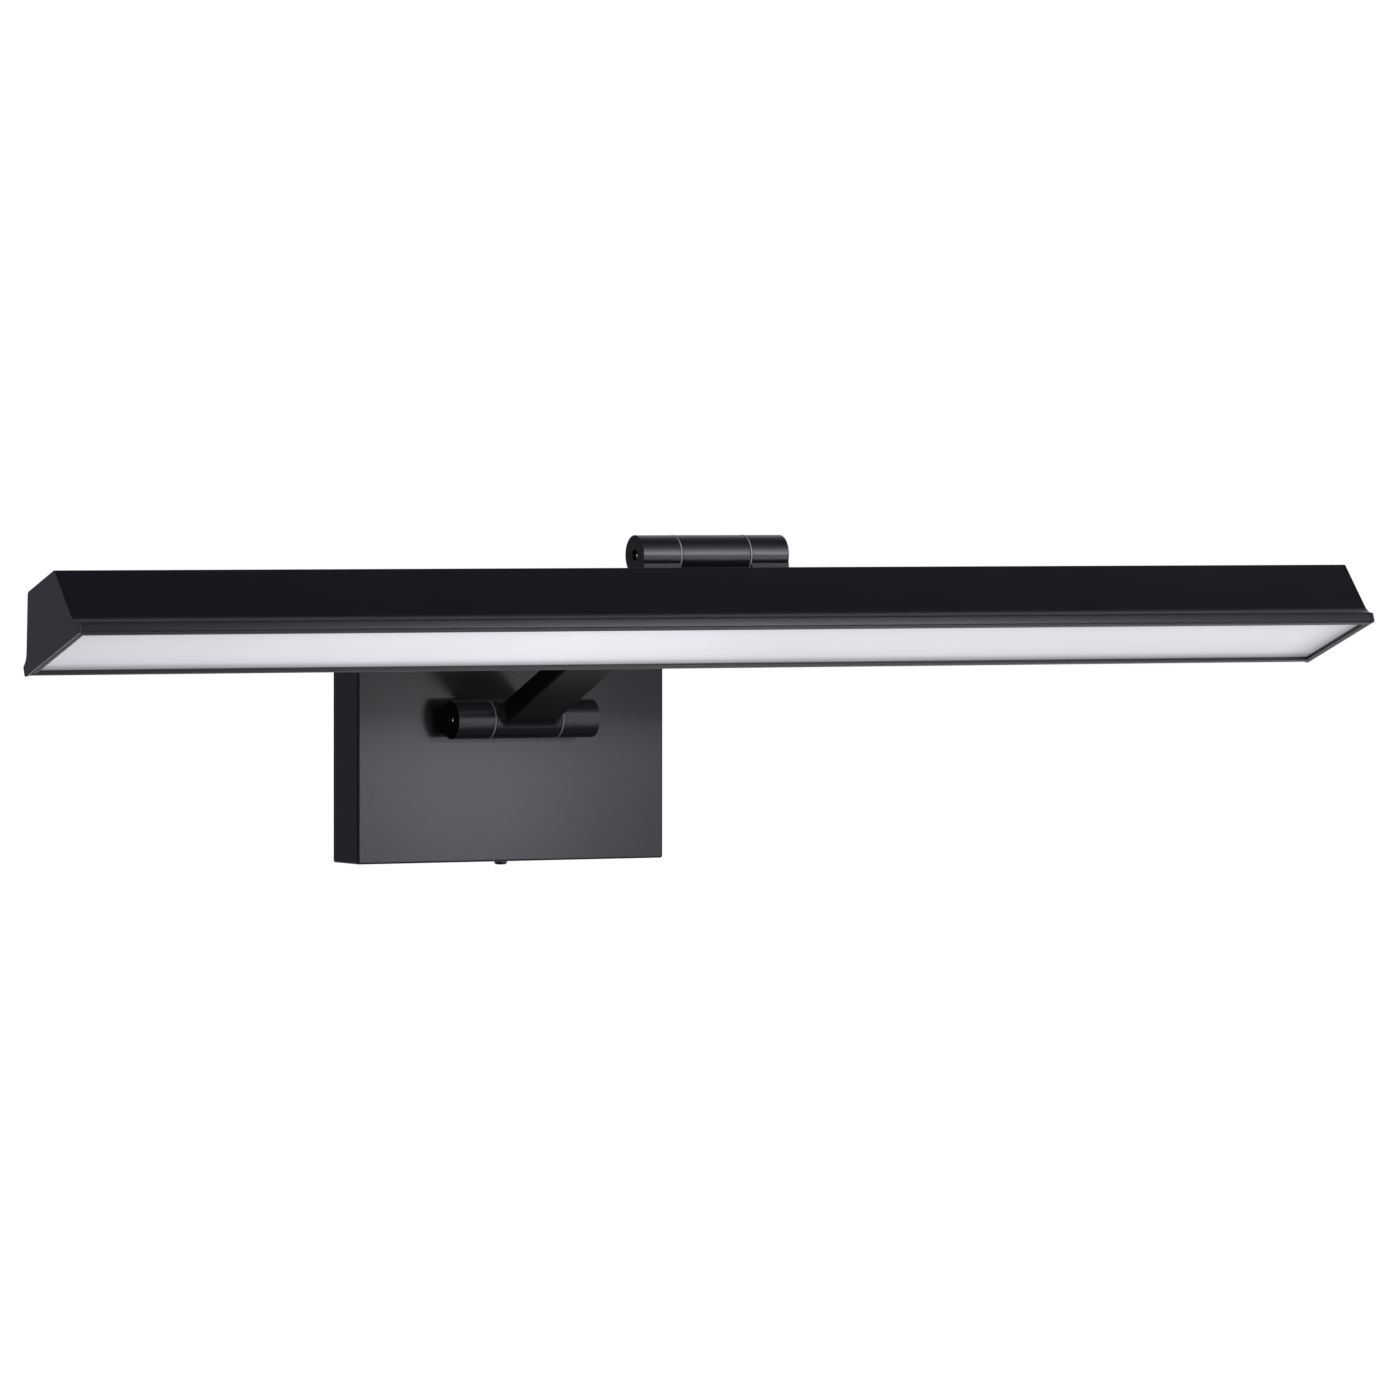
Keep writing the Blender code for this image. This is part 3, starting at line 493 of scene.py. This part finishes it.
# Each has its darkest and lightest colour, and its lowest and highest roughness. Coats also have a
# specular level. The marks on metals are drawn out along the axes where stretch is small.
MATERIALS = {
    "housing": coat("head_black_coat", (0.0036, 0.0034, 0.0056), (0.0050, 0.0047, 0.0074),
                    (0.30, 0.34), 0.38),
    "bezel": coat("bezel_black_coat", (0.0075, 0.0072, 0.0100), (0.0100, 0.0096, 0.0130),
                  (0.42, 0.48), 0.62),
    # Lighter coat for the end plates' outer faces: partly their own lighter finish, partly painted
    # light for the light that falls on the ends.
    "end": coat("end_plate_coat_with_painted_light", (0.079, 0.077, 0.089), (0.094, 0.092, 0.105),
                (0.46, 0.52), 0.90),
    "arm": coat("arm_black_coat", (0.0068, 0.0066, 0.0090), (0.0095, 0.0092, 0.0120),
                (0.31, 0.36), 0.42),
    "cover": coat("canopy_black_coat", (0.0078, 0.0075, 0.0102), (0.0105, 0.0101, 0.0135),
                  (0.25, 0.28), 0.42, grain=0.4),
    "screw_black": coat("black_oxide_screw", (0.012, 0.012, 0.013), (0.022, 0.022, 0.024),
                        (0.30, 0.40), 0.50),
    "zinc": metal("zinc_plate", (0.42, 0.43, 0.44), (0.62, 0.62, 0.60), (0.28, 0.44),
                  stretch=(1, 1, 0.08), scale=700),
    "brass": metal("turned_brass", (0.48, 0.34, 0.13), (0.68, 0.50, 0.23), (0.20, 0.34),
                   stretch=(14, 1, 1), scale=400),
    "steel": metal("bright_steel", (0.55, 0.54, 0.52), (0.78, 0.77, 0.74), (0.16, 0.28)),
    "pivot": metal("yellow_zinc_screw", (0.62, 0.56, 0.38), (0.80, 0.75, 0.56), (0.14, 0.26)),
    "green": metal("green_plated_screw", (0.04, 0.22, 0.07), (0.08, 0.34, 0.12), (0.25, 0.38)),
    "washer": plastic("grey_nylon_washer", (0.28, 0.28, 0.29), (0.36, 0.36, 0.37), (0.30, 0.40)),
    "plastic": plastic("white_plastic", (0.68, 0.68, 0.65), (0.78, 0.78, 0.74), (0.38, 0.50)),
    "enamel": plastic("white_enamel", (0.74, 0.74, 0.73), (0.82, 0.82, 0.81), (0.30, 0.40)),
    "board": plastic("white_solder_mask", (0.62, 0.64, 0.62), (0.76, 0.77, 0.75), (0.34, 0.46)),
    "sheath": plastic("black_sheath", (0.014, 0.014, 0.015), (0.028, 0.028, 0.030), (0.46, 0.58)),
    "opal": opal_material(),
}

replaced = set()                # names of the CAD nodes that detailed pieces stand for


def finish_piece(thing, material, body, node):
    """Gives a piece its material, its body and the CAD node that it stands for.

    The opal sheet keeps its own axes, because its painted highlight and shade follow them.
    """
    if material != "opal":
        bake(thing)
    thing.data.materials.clear()
    thing.data.materials.append(MATERIALS[material])
    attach(thing, body)
    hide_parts(node)
    replaced.add(node)


# ---------------------------------------------------------------- lamp head

def head_outline(section):
    """A section of (half width towards the front, depth) in the head frame's Y and Z."""
    return [(-u, -UPPER_AXIS_HEIGHT - depth) for u, depth in section]


def outer_profile(steps=14):
    """One half of the head's outside, from its rounded top edge to the end of the flare."""
    top = (TOP_HALF, 0)
    slope_end = (SLOPE_HALF, SLOPE_DEPTH)
    body = rounded([(0, 0), top, slope_end, (0, SLOPE_DEPTH)], [0, 0.7, 0, 0], 5)
    upper_corner = body[1:-2]
    return upper_corner + tangent_arc(slope_end, top, (FOOT_HALF, FOOT_DEPTH), steps)


def lamp_housing():
    """The extrusion with sloping sides, hollow and open below."""
    inner_half = 21.2
    inner_top = (TOP_HALF - 0.9, 1.8)
    inside = [(inner_half, FOOT_DEPTH), (inner_half, SLOPE_DEPTH), inner_top]
    section = mirrored(outer_profile() + inside)
    builder = prism(head_outline(section), -HOUSING_HALF, HOUSING_HALF)
    shell = new_mesh("lamp_housing", builder, HEAD_FRAME)
    finish_piece(soften(shell, 25), "housing", "head", "head_housing")


def end_tab(inner_face, side):
    """The tab of an end plate, which plugs into the housing and runs into the plate."""
    top = (12.9, 6.3)
    half_width = 20.4
    length = 5
    overlap = 0.5
    section = mirrored([top, (half_width, SLOPE_DEPTH), (half_width, FOOT_DEPTH - 0.3)])
    builder = prism(head_outline(section), side * (HOUSING_HALF - length),
                    inner_face + side * overlap)
    return new_mesh("tab", builder, HEAD_FRAME)


def lamp_end(side_name, side):
    """An end plate with the head's full profile, rounded outer edges and a tab."""
    foot = rounded(
        [(0, FOOT_DEPTH), (FOOT_HALF, FOOT_DEPTH), (FOOT_HALF, HEAD_DEPTH), (0, HEAD_DEPTH)],
        [0, 0, 0.5, 0])
    lower_corner = foot[2:-1]
    section = mirrored(outer_profile() + lower_corner)
    inner_face = side * (HOUSING_HALF + 0.02)
    outer_face = side * HEAD_HALF
    builder = prism(head_outline(section), inner_face, outer_face)
    rim = [e for e in builder.edges if all(abs(v.co.x - outer_face) < 1e-4 for v in e.verts)]
    bevel(builder, rim, 0.25, 3)
    plate = new_mesh(f"lamp_end_{side_name}", builder, HEAD_FRAME)
    boolean(plate, end_tab(inner_face, side), "UNION")
    apply_modifiers(plate)
    weighted_normals(soften(plate, 40))
    finish_piece(plate, "housing", "head", f"end_plate_{side_name}")
    plate.data.materials.append(MATERIALS["end"])       # for its outer face, whose lighter coat is partly painted light
    for face in plate.data.polygons:
        if side * face.normal.x > 0.8:
            face.material_index = 1


def bezel_strip(name, direction, node):
    """The trim under the flare: an outer lip, a groove, and the ledge and flange that hold the
    diffuser."""
    lip_depth = 30.6
    lip_inner = FOOT_HALF - 0.8
    groove_top = 29.6
    groove_inner = FOOT_HALF - 1.4
    wall_inner = 26.3
    outline = [
        (FOOT_HALF, TRIM_DEPTH), (FOOT_HALF, lip_depth), (lip_inner, lip_depth),
        (lip_inner, groove_top), (groove_inner, groove_top), (groove_inner, HEAD_DEPTH),
        (FLANGE_TIP, HEAD_DEPTH), (FLANGE_TIP, FLANGE_DEPTH), (LEDGE_TIP, FLANGE_DEPTH),
        (LEDGE_TIP, LEDGE_DEPTH), (wall_inner, LEDGE_DEPTH), (wall_inner, TRIM_DEPTH),
    ]
    radii = [0.15, 0.35, 0.15, 0.15, 0.15, 0.2, 0.2, 0.15, 0, 0, 0, 0]
    section = [(direction * u, depth) for u, depth in rounded(outline, radii)]
    builder = prism(head_outline(section), -BEZEL_HALF, BEZEL_HALF)
    bevel(builder, end_rims(builder), 0.12, 2)
    strip = new_mesh(name, builder, HEAD_FRAME)
    finish_piece(soften(strip, 30), "bezel", "head", node)


def bezel_end(side_name, side):
    """The short strip under the diffuser's end."""
    half_width = 23.6
    inner = BEZEL_HALF - 2.0
    ledge = inner + 0.9
    outline = rounded(
        [(inner, -HEAD_DEPTH), (BEZEL_HALF, -HEAD_DEPTH), (BEZEL_HALF, -LEDGE_DEPTH),
         (ledge, -LEDGE_DEPTH), (ledge, -FLANGE_DEPTH), (inner, -FLANGE_DEPTH)],
        [0.2, 0.2, 0, 0, 0, 0.15])
    section = [(side * x, z - UPPER_AXIS_HEIGHT) for x, z in outline]
    builder = prism(section, -half_width, half_width, "Y")
    strip = new_mesh(f"lamp_bezel_end_{side_name}", builder, HEAD_FRAME)
    finish_piece(soften(strip, 30), "bezel", "head", f"bezel_end_{side_name}")


def opal_sheet():
    """The diffuser, with its long edges rounded."""
    half = 26.0
    outline = rounded(
        [(half, TRIM_DEPTH), (half, DIFFUSER_DEPTH), (-half, DIFFUSER_DEPTH), (-half, TRIM_DEPTH)],
        [0.2, 0.3, 0.3, 0.2])
    builder = prism(head_outline(outline), -DIFFUSER_HALF, DIFFUSER_HALF)
    sheet = new_mesh("opal_sheet", builder, HEAD_FRAME)
    finish_piece(soften(sheet), "opal", "head", "diffuser")


# ---------------------------------------------------------------- hinges

def screw_bore(side, matrix):
    """The bore for the recessed screw, with a chamfer at its mouth."""
    mouth = side * KNUCKLE_OUTER
    mouth_radius = 2.45
    rings = [
        (side * (KNUCKLE_OUTER - 7), SCREW_BORE_RADIUS),
        (mouth - side * 0.25, SCREW_BORE_RADIUS),
        (mouth + side * 0.05, mouth_radius),
        (mouth + side, mouth_radius),
    ]
    return new_mesh("bore", lathe(rings, segments=48), matrix)


def outer_knuckle(name, side, axis_height, matrix, body, node):
    """A barrel on a flat foot, with its rounded end and the bore for the recessed screw."""
    meet = math.degrees(math.acos(FOOT_HALF_WIDTH / BARREL_RADIUS))
    outline = arc((0, 0), BARREL_RADIUS, -meet, 180 + meet, 72)
    outline += [(-FOOT_HALF_WIDTH, -axis_height), (FOOT_HALF_WIDTH, -axis_height)]
    builder = prism(outline, side * KNUCKLE_INNER, side * KNUCKLE_OUTER)
    outer = [e for e in end_rims(builder) if abs(e.verts[0].co.x) > KNUCKLE_MIDDLE]
    bevel(builder, outer, 0.45, 4)
    knuckle = new_mesh(name, builder, matrix)
    boolean(knuckle, screw_bore(side, matrix), "DIFFERENCE")
    apply_modifiers(knuckle)
    weighted_normals(soften(clean(knuckle), 30))
    finish_piece(knuckle, "arm", body, node)


def washer(name, side, matrix, body, node):
    """The thin washer between two knuckles, with rounded rims."""
    hole, flat, outside = 3.3, 8.28, 8.39
    inner = side * (CENTRE_HALF + 0.15)
    outer = inner + side * 0.6
    edge = side * 0.12
    rings = [(inner, hole), (inner, flat), (inner + edge, outside), (outer - edge, outside),
             (outer, flat), (outer, hole)]
    ring = new_mesh(name, lathe(rings, closed=True, segments=96), matrix)
    finish_piece(soften(ring), "washer", body, node)


def set_screw(name, side, start, end, matrix, body, node):
    """A headless screw with a hexagon socket in its outer end, which lies at start."""
    inward = -side
    face = side * start
    radius = 1.95
    root = radius - 0.22
    socket = 0.98
    pitch = 0.7
    rings = [
        (face + inward * 2.6, socket, "hex"),
        (face + inward * 0.75, socket, "hex"),
        (face + inward * 0.7, 1.05),
        (face, radius - 0.2),
        (face + inward * 0.2, radius),
    ]
    turns = int((start - end - 1.0) / pitch)
    for i in range(turns):
        at = face + inward * (0.5 + pitch * i)
        rings += [(at, radius), (at + inward * 0.28, root), (at + inward * 0.4, root)]
    rings.append((side * end, radius - 0.5))
    screw = new_mesh(name, lathe(rings, segments=36), matrix)
    finish_piece(soften(screw, 30), "pivot", body, node)


def hinge_seat(prefix, axis_height, matrix, body):
    """The outer knuckles of a hinge, its washers, and the screws recessed in its two ends."""
    for side_name, side in SIDES:
        outer_knuckle(f"{prefix}_outer_knuckle_{side_name}", side, axis_height, matrix, body,
                      f"{prefix}_knuckle_{side_name}")
        washer(f"{prefix}_ring_{side_name}", side, matrix, body, f"{prefix}_washer_{side_name}")
    recess = KNUCKLE_OUTER - 1.6
    pivot_end = 9.0
    plug_end = KNUCKLE_OUTER - 5.5
    set_screw(f"{prefix}_hinge_screw", -1, recess, pivot_end, matrix, body, f"{prefix}_pivot_screw")
    set_screw(f"{prefix}_hinge_plug", 1, recess, plug_end, matrix, body, f"{prefix}_plug_screw")


# ---------------------------------------------------------------- arm

def arm_ring(steps=10, flat_steps=6):
    """The bar's section as (x, z, outward normal x, normal z), with rounded corners."""
    ring = []
    corner_x = ARM_HALF_WIDTH - ARM_EDGE
    corner_z = ARM_HALF_THICKNESS - ARM_EDGE
    centres = [(corner_x, corner_z, 0), (-corner_x, corner_z, 90), (-corner_x, -corner_z, 180),
               (corner_x, -corner_z, 270)]
    for i, (cx, cz, first) in enumerate(centres):
        for k in range(steps + 1):
            angle = math.radians(first + 90 * k / steps)
            nx, nz = math.cos(angle), math.sin(angle)
            ring.append((cx + ARM_EDGE * nx, cz + ARM_EDGE * nz, nx, nz))
        following = centres[(i + 1) % 4]
        nx, nz = math.cos(math.radians(first + 90)), math.sin(math.radians(first + 90))
        ax, az = cx + ARM_EDGE * nx, cz + ARM_EDGE * nz
        bx, bz = following[0] + ARM_EDGE * nx, following[1] + ARM_EDGE * nz
        for k in range(1, flat_steps):
            t = k / flat_steps
            ring.append((ax + (bx - ax) * t, az + (bz - az) * t, nx, nz))
    return ring


def fillet_loops(ring, axis_y, towards, steps=10):
    """Loops of a rolling-ball fillet from the bar's section to a barrel at axis_y.

    towards is -1 when the bar leaves the barrel in the direction -Y, and +1 otherwise. The last
    loop is buried in the barrel, so that the two can be joined.
    """
    reach = BARREL_RADIUS + ARM_FILLET
    loops = [[] for _ in range(steps + 2)]
    for x, z, nx, nz in ring:
        ball = Vector((x + nx * ARM_FILLET, 0, z + nz * ARM_FILLET))
        ball.y = axis_y + towards * math.sqrt(reach ** 2 - ball.z ** 2)
        to_bar = Vector((-nx, 0, -nz))
        to_axis = Vector((0, axis_y - ball.y, -ball.z)).normalized()
        total = to_bar.angle(to_axis)
        for k in range(steps + 1):
            turn = total * k / steps
            mixed = to_bar * math.sin(total - turn) + to_axis * math.sin(turn)
            loops[k].append(ball + mixed / math.sin(total) * ARM_FILLET)
        contact = loops[steps][-1]
        axis_point = Vector((contact.x * BURIED_WIDTH, axis_y, 0))
        loops[steps + 1].append(contact + (axis_point - contact) * BURIED_DEPTH)
    return loops


def arm_barrel(axis_y):
    """A knuckle of the arm with softened rims. It is solid, because its bores don't show."""
    disc = 4.1
    half_rings = [
        (CENTRE_HALF, disc),
        (CENTRE_HALF, BARREL_RADIUS - 0.35),
        (CENTRE_HALF - 0.1, BARREL_RADIUS - 0.1),
        (CENTRE_HALF - 0.35, BARREL_RADIUS),
    ]
    rings = [(-x, radius) for x, radius in half_rings] + half_rings[::-1]
    return soften(new_mesh("barrel", lathe(rings, centre=(axis_y, 0), segments=96), ARM_FRAME), 30)


def arm_piece():
    """The bar with a rolling fillet into the knuckle at each end."""
    ring = arm_ring()
    near = fillet_loops(ring, 0, -1)
    far = fillet_loops(ring, -ARM_LENGTH, 1)
    order = list(reversed(near)) + far
    builder = bmesh.new()
    loops = [[builder.verts.new(p) for p in loop] for loop in order]
    count = len(ring)
    for lower, upper in zip(loops, loops[1:]):
        for i in range(count):
            j = (i + 1) % count
            builder.faces.new((lower[i], lower[j], upper[j], upper[i]))
    builder.faces.new(loops[0])
    builder.faces.new(loops[-1])
    arm = soften(new_mesh("hinged_arm", builder, ARM_FRAME), 30)
    for axis_y in (0, -ARM_LENGTH):
        boolean(arm, arm_barrel(axis_y), "UNION")
    apply_modifiers(arm)
    weighted_normals(soften(clean(arm), 30))
    finish_piece(arm, "arm", "arm", "arm")


# ---------------------------------------------------------------- canopy

def canopy():
    """The box-shaped cover with rounded edges, open at the wall, and its two screw holes."""
    low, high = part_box("canopy_cover")
    low, high = low / MM, high / MM
    builder = block(low, high)
    rim = [e for e in builder.edges if min(v.co.y for v in e.verts) < low.y / 2]
    bevel(builder, rim, 1.0, 6)
    cover = new_mesh("canopy_box", builder, WALL_FRAME)
    inside = block((low.x + COVER_WALL, low.y + COVER_WALL, low.z + COVER_WALL),
                   (high.x - COVER_WALL, 5, high.z - COVER_WALL))
    edges = [e for e in inside.edges if max(v.co.y for v in e.verts) < 0]
    bevel(inside, edges, 0.5, 3)
    boolean(cover, new_mesh("inside", inside, WALL_FRAME), "DIFFERENCE")
    hole = 1.85
    drill = lathe([(low.z - 5, hole), (high.z + 5, hole)], "Z", (0, COVER_SCREW_Y), segments=32)
    boolean(cover, new_mesh("holes", drill, WALL_FRAME), "DIFFERENCE")
    apply_modifiers(cover)
    weighted_normals(soften(clean(cover), 35))
    finish_piece(cover, "cover", "wall_mount", "canopy_cover")


def cover_screw(name, end, node):
    """A low round-headed screw with a hexagon socket. end is -1 below the cover and 1 above it."""
    profile = [
        (0.6, 1.2, "hex"), (1.62, 1.2, "hex"), (1.7, 1.3, "hex"),                   # socket
        (1.7, 1.9), (1.55, 2.3), (1.2, 2.65), (0.7, 2.85), (0.2, 2.9), (0, 2.82),   # head
        (0, 1.5), (-5.6, 1.5), (-6.0, 1.1),                                         # shank
    ]
    rings = [(end * (COVER_SCREW_SEAT + height), *shape) for height, *shape in profile]
    screw = new_mesh(name, lathe(rings, "Z", (0, COVER_SCREW_Y), segments=48), WALL_FRAME)
    finish_piece(soften(screw, 30), "screw_black", "wall_mount", node)


# ---------------------------------------------------------------- CAD nodes that stay in view

def node_material(name):
    """Which material a CAD node gets when no detailed piece stands for it."""
    if "lead" in name.split("_"):
        return "sheath"
    if "bush" in name or "tube" in name:
        return "brass"
    if name == "earth_screw":
        return "green"
    if name == "mounting_plate":
        return "zinc"
    if "screw" in name:
        return "steel"
    if name == "reflector_tray":
        return "enamel"
    if name == "led_board":
        return "board"
    return "plastic"


def dress_cad_nodes():
    """Gives a material to every CAD node that no detailed piece stands for."""
    for name, node in frame["nodes"].items():
        if name in replaced:
            continue
        material = MATERIALS[node_material(name)]
        if not node.material_slots:
            node.data.materials.append(material)
        for slot in node.material_slots:
            slot.material = material


# ---------------------------------------------------------------- floor, light and camera
# Lengths and places from here on are in metres.

def stage_material():
    """A pale matt floor with a glow of its own, which keeps it even."""
    n = Nodes("pale_floor")
    clouds = n.noise(3, 2)
    n.link(n.ramp(clouds, (0.86, 0.86, 0.87), (0.90, 0.90, 0.91)), n.shader.inputs["Base Color"])
    n.shader.inputs["Roughness"].default_value = 0.9
    n.shader.inputs["Emission Color"].default_value = (1, 1, 1, 1)
    n.shader.inputs["Emission Strength"].default_value = 0.9
    return n.material


def stage_rings(builder, floor_z, radius, sweep, top, segments=64):
    """Rings of vertices: the floor's rim, the sweep's arc and the backdrop's top."""
    turns = [math.radians(90 * i / 12) for i in range(1, 13)]
    profile = [(radius - sweep, floor_z)]
    profile += [(radius - sweep + sweep * math.sin(turn), floor_z + sweep - sweep * math.cos(turn))
                for turn in turns]
    profile.append((radius, top))
    angles = [2 * math.pi * i / segments for i in range(segments)]
    return [[builder.verts.new((r * math.cos(angle), r * math.sin(angle), z)) for angle in angles]
            for r, z in profile]


def stage():
    """A pale floor that sweeps up into a backdrop on all sides."""
    floor_z = -2.7
    builder = bmesh.new()
    centre = builder.verts.new((0, 0, floor_z))
    rings = stage_rings(builder, floor_z, radius=6.0, sweep=1.5, top=7.0)
    segments = len(rings[0])
    for i in range(segments):
        j = (i + 1) % segments
        builder.faces.new((centre, rings[0][i], rings[0][j]))
        for lower, upper in zip(rings, rings[1:]):
            builder.faces.new((lower[i], upper[i], upper[j], lower[j]))
    mesh = bpy.data.meshes.new("floor")
    builder.to_mesh(mesh)
    builder.free()
    mesh.shade_smooth()
    floor = bpy.data.objects.new("floor", mesh)
    floor.data.materials.append(stage_material())
    floor.visible_diffuse = False
    floor.visible_glossy = False
    bpy.context.scene.collection.objects.link(floor)


LIGHT_TARGET = Vector((0.0, -0.15, 0.02))
LIGHT_COLOUR = (1.0, 0.985, 1.05)

# Name, (azimuth, elevation) in degrees, width and height, radiance, distance from the target.
# Azimuth 0 is the front and +90 the right.
SOFT_BOXES = (
    ("key", (26, 10), (0.80, 0.18), 21.5, 1.6),
    ("key_upper", (26, 24), (0.80, 0.26), 5.6, 1.6),
    ("overhead", (26, 41), (0.80, 0.60), 0.8, 1.6),
    ("key_middle", (26, -2), (0.80, 0.24), 0.6, 1.6),
    ("cover_spot", (30.6, -8.5), (0.08, 0.05), 12.5, 0.533),
    ("key_lower", (26, -20), (0.80, 0.46), 2.0, 1.6),
    ("floor_bounce", (26, -36), (0.80, 0.50), 1.4, 1.6),
    ("right_fill", (48, 2), (0.40, 0.60), 0.9, 1.6),
    ("left_fill", (-62, 4), (0.50, 0.50), 1.0, 1.6),
)

# The sky is dim, but bright behind the object and to its right, as from a white card there
SKY_DIM = (0.110, 0.106, 0.134, 1)
SKY_CARD = (0.95, 0.93, 1.00, 1)
CARD_DIRECTION = (0.62, 0.76, 0.05)
CARD_START = 0.50               # cosines of the angle from the card's direction
CARD_FULL = 0.80

CAMERA_PLACE = (-1.685648, -3.304281, 0.102912)
CAMERA_FORWARD = (0.475900, 0.879135, -0.025331)
CAMERA_UP = (0.011215, 0.022734, 0.999679)
CAMERA_LENS = 217.62
CAMERA_SENSOR = 36
CAMERA_SHIFT = (0.004367, -0.002086)


def area_light(name, direction, size, radiance, distance):
    """A soft box that points at the target and that camera rays pass through."""
    azimuth, elevation = math.radians(direction[0]), math.radians(direction[1])
    level = math.cos(elevation)
    towards = Vector((math.sin(azimuth) * level, -math.cos(azimuth) * level, math.sin(elevation)))
    data = bpy.data.lights.new(name, "AREA")
    data.shape = "RECTANGLE"
    data.size, data.size_y = size
    data.energy = radiance * size[0] * size[1] * math.pi
    data.color = LIGHT_COLOUR
    lamp = bpy.data.objects.new(name, data)
    lamp.location = LIGHT_TARGET + towards * distance
    lamp.visible_camera = False
    lamp.rotation_euler = (-towards).to_track_quat("-Z", "Y").to_euler()
    bpy.context.scene.collection.objects.link(lamp)


def world_light():
    """Dim light from all round and bright light from the card."""
    world = bpy.data.worlds.new("studio")
    bpy.context.scene.world = world
    world.use_nodes = True
    tree = world.node_tree
    background = tree.nodes["Background"]
    coordinates = tree.nodes.new("ShaderNodeTexCoord")
    dot = tree.nodes.new("ShaderNodeVectorMath")
    dot.operation = "DOT_PRODUCT"
    dot.inputs[1].default_value = Vector(CARD_DIRECTION).normalized()
    tree.links.new(coordinates.outputs["Generated"], dot.inputs[0])
    ramp = tree.nodes.new("ShaderNodeValToRGB")
    tree.links.new(dot.outputs["Value"], ramp.inputs["Fac"])
    elements = ramp.color_ramp.elements
    elements[0].position = 0.0
    elements[0].color = SKY_DIM
    elements[1].position = CARD_FULL
    elements[1].color = SKY_CARD
    elements.new(CARD_START).color = SKY_DIM
    tree.links.new(ramp.outputs["Color"], background.inputs["Color"])
    background.inputs["Strength"].default_value = 1.0


def camera():
    """The camera, in front of the light and to its left, with a long lens."""
    data = bpy.data.cameras.new("photo_camera")
    data.sensor_width = CAMERA_SENSOR
    data.lens = CAMERA_LENS
    data.shift_x, data.shift_y = CAMERA_SHIFT
    data.clip_end = 60
    eye = bpy.data.objects.new("photo_camera", data)
    eye.location = CAMERA_PLACE
    forward = Vector(CAMERA_FORWARD)
    right = forward.cross(Vector(CAMERA_UP)).normalized()
    up = right.cross(forward)
    turn = Matrix((right, up, -forward)).transposed()
    eye.rotation_euler = turn.to_euler()
    bpy.context.scene.collection.objects.link(eye)
    bpy.context.scene.camera = eye


# ---------------------------------------------------------------- the whole scene

lamp_housing()
for side_name, side in SIDES:
    lamp_end(side_name, side)
    bezel_end(side_name, side)
bezel_strip("lamp_bezel_front", 1, "bezel_front")
bezel_strip("lamp_bezel_back", -1, "bezel_back")
opal_sheet()
hinge_seat("upper", UPPER_AXIS_HEIGHT, HEAD_FRAME, "head")
hinge_seat("lower", LOWER_AXIS_HEIGHT, SEAT_FRAME, "wall_mount")
arm_piece()
canopy()
cover_screw("cover_screw_low", -1, "cover_screw_bottom")
cover_screw("cover_screw_high", 1, "cover_screw_top")
dress_cad_nodes()

stage()
world_light()
for name, direction, size, radiance, distance in SOFT_BOXES:
    area_light(name, direction, size, radiance, distance)
camera()
bpy.context.scene.view_settings.view_transform = "Standard"
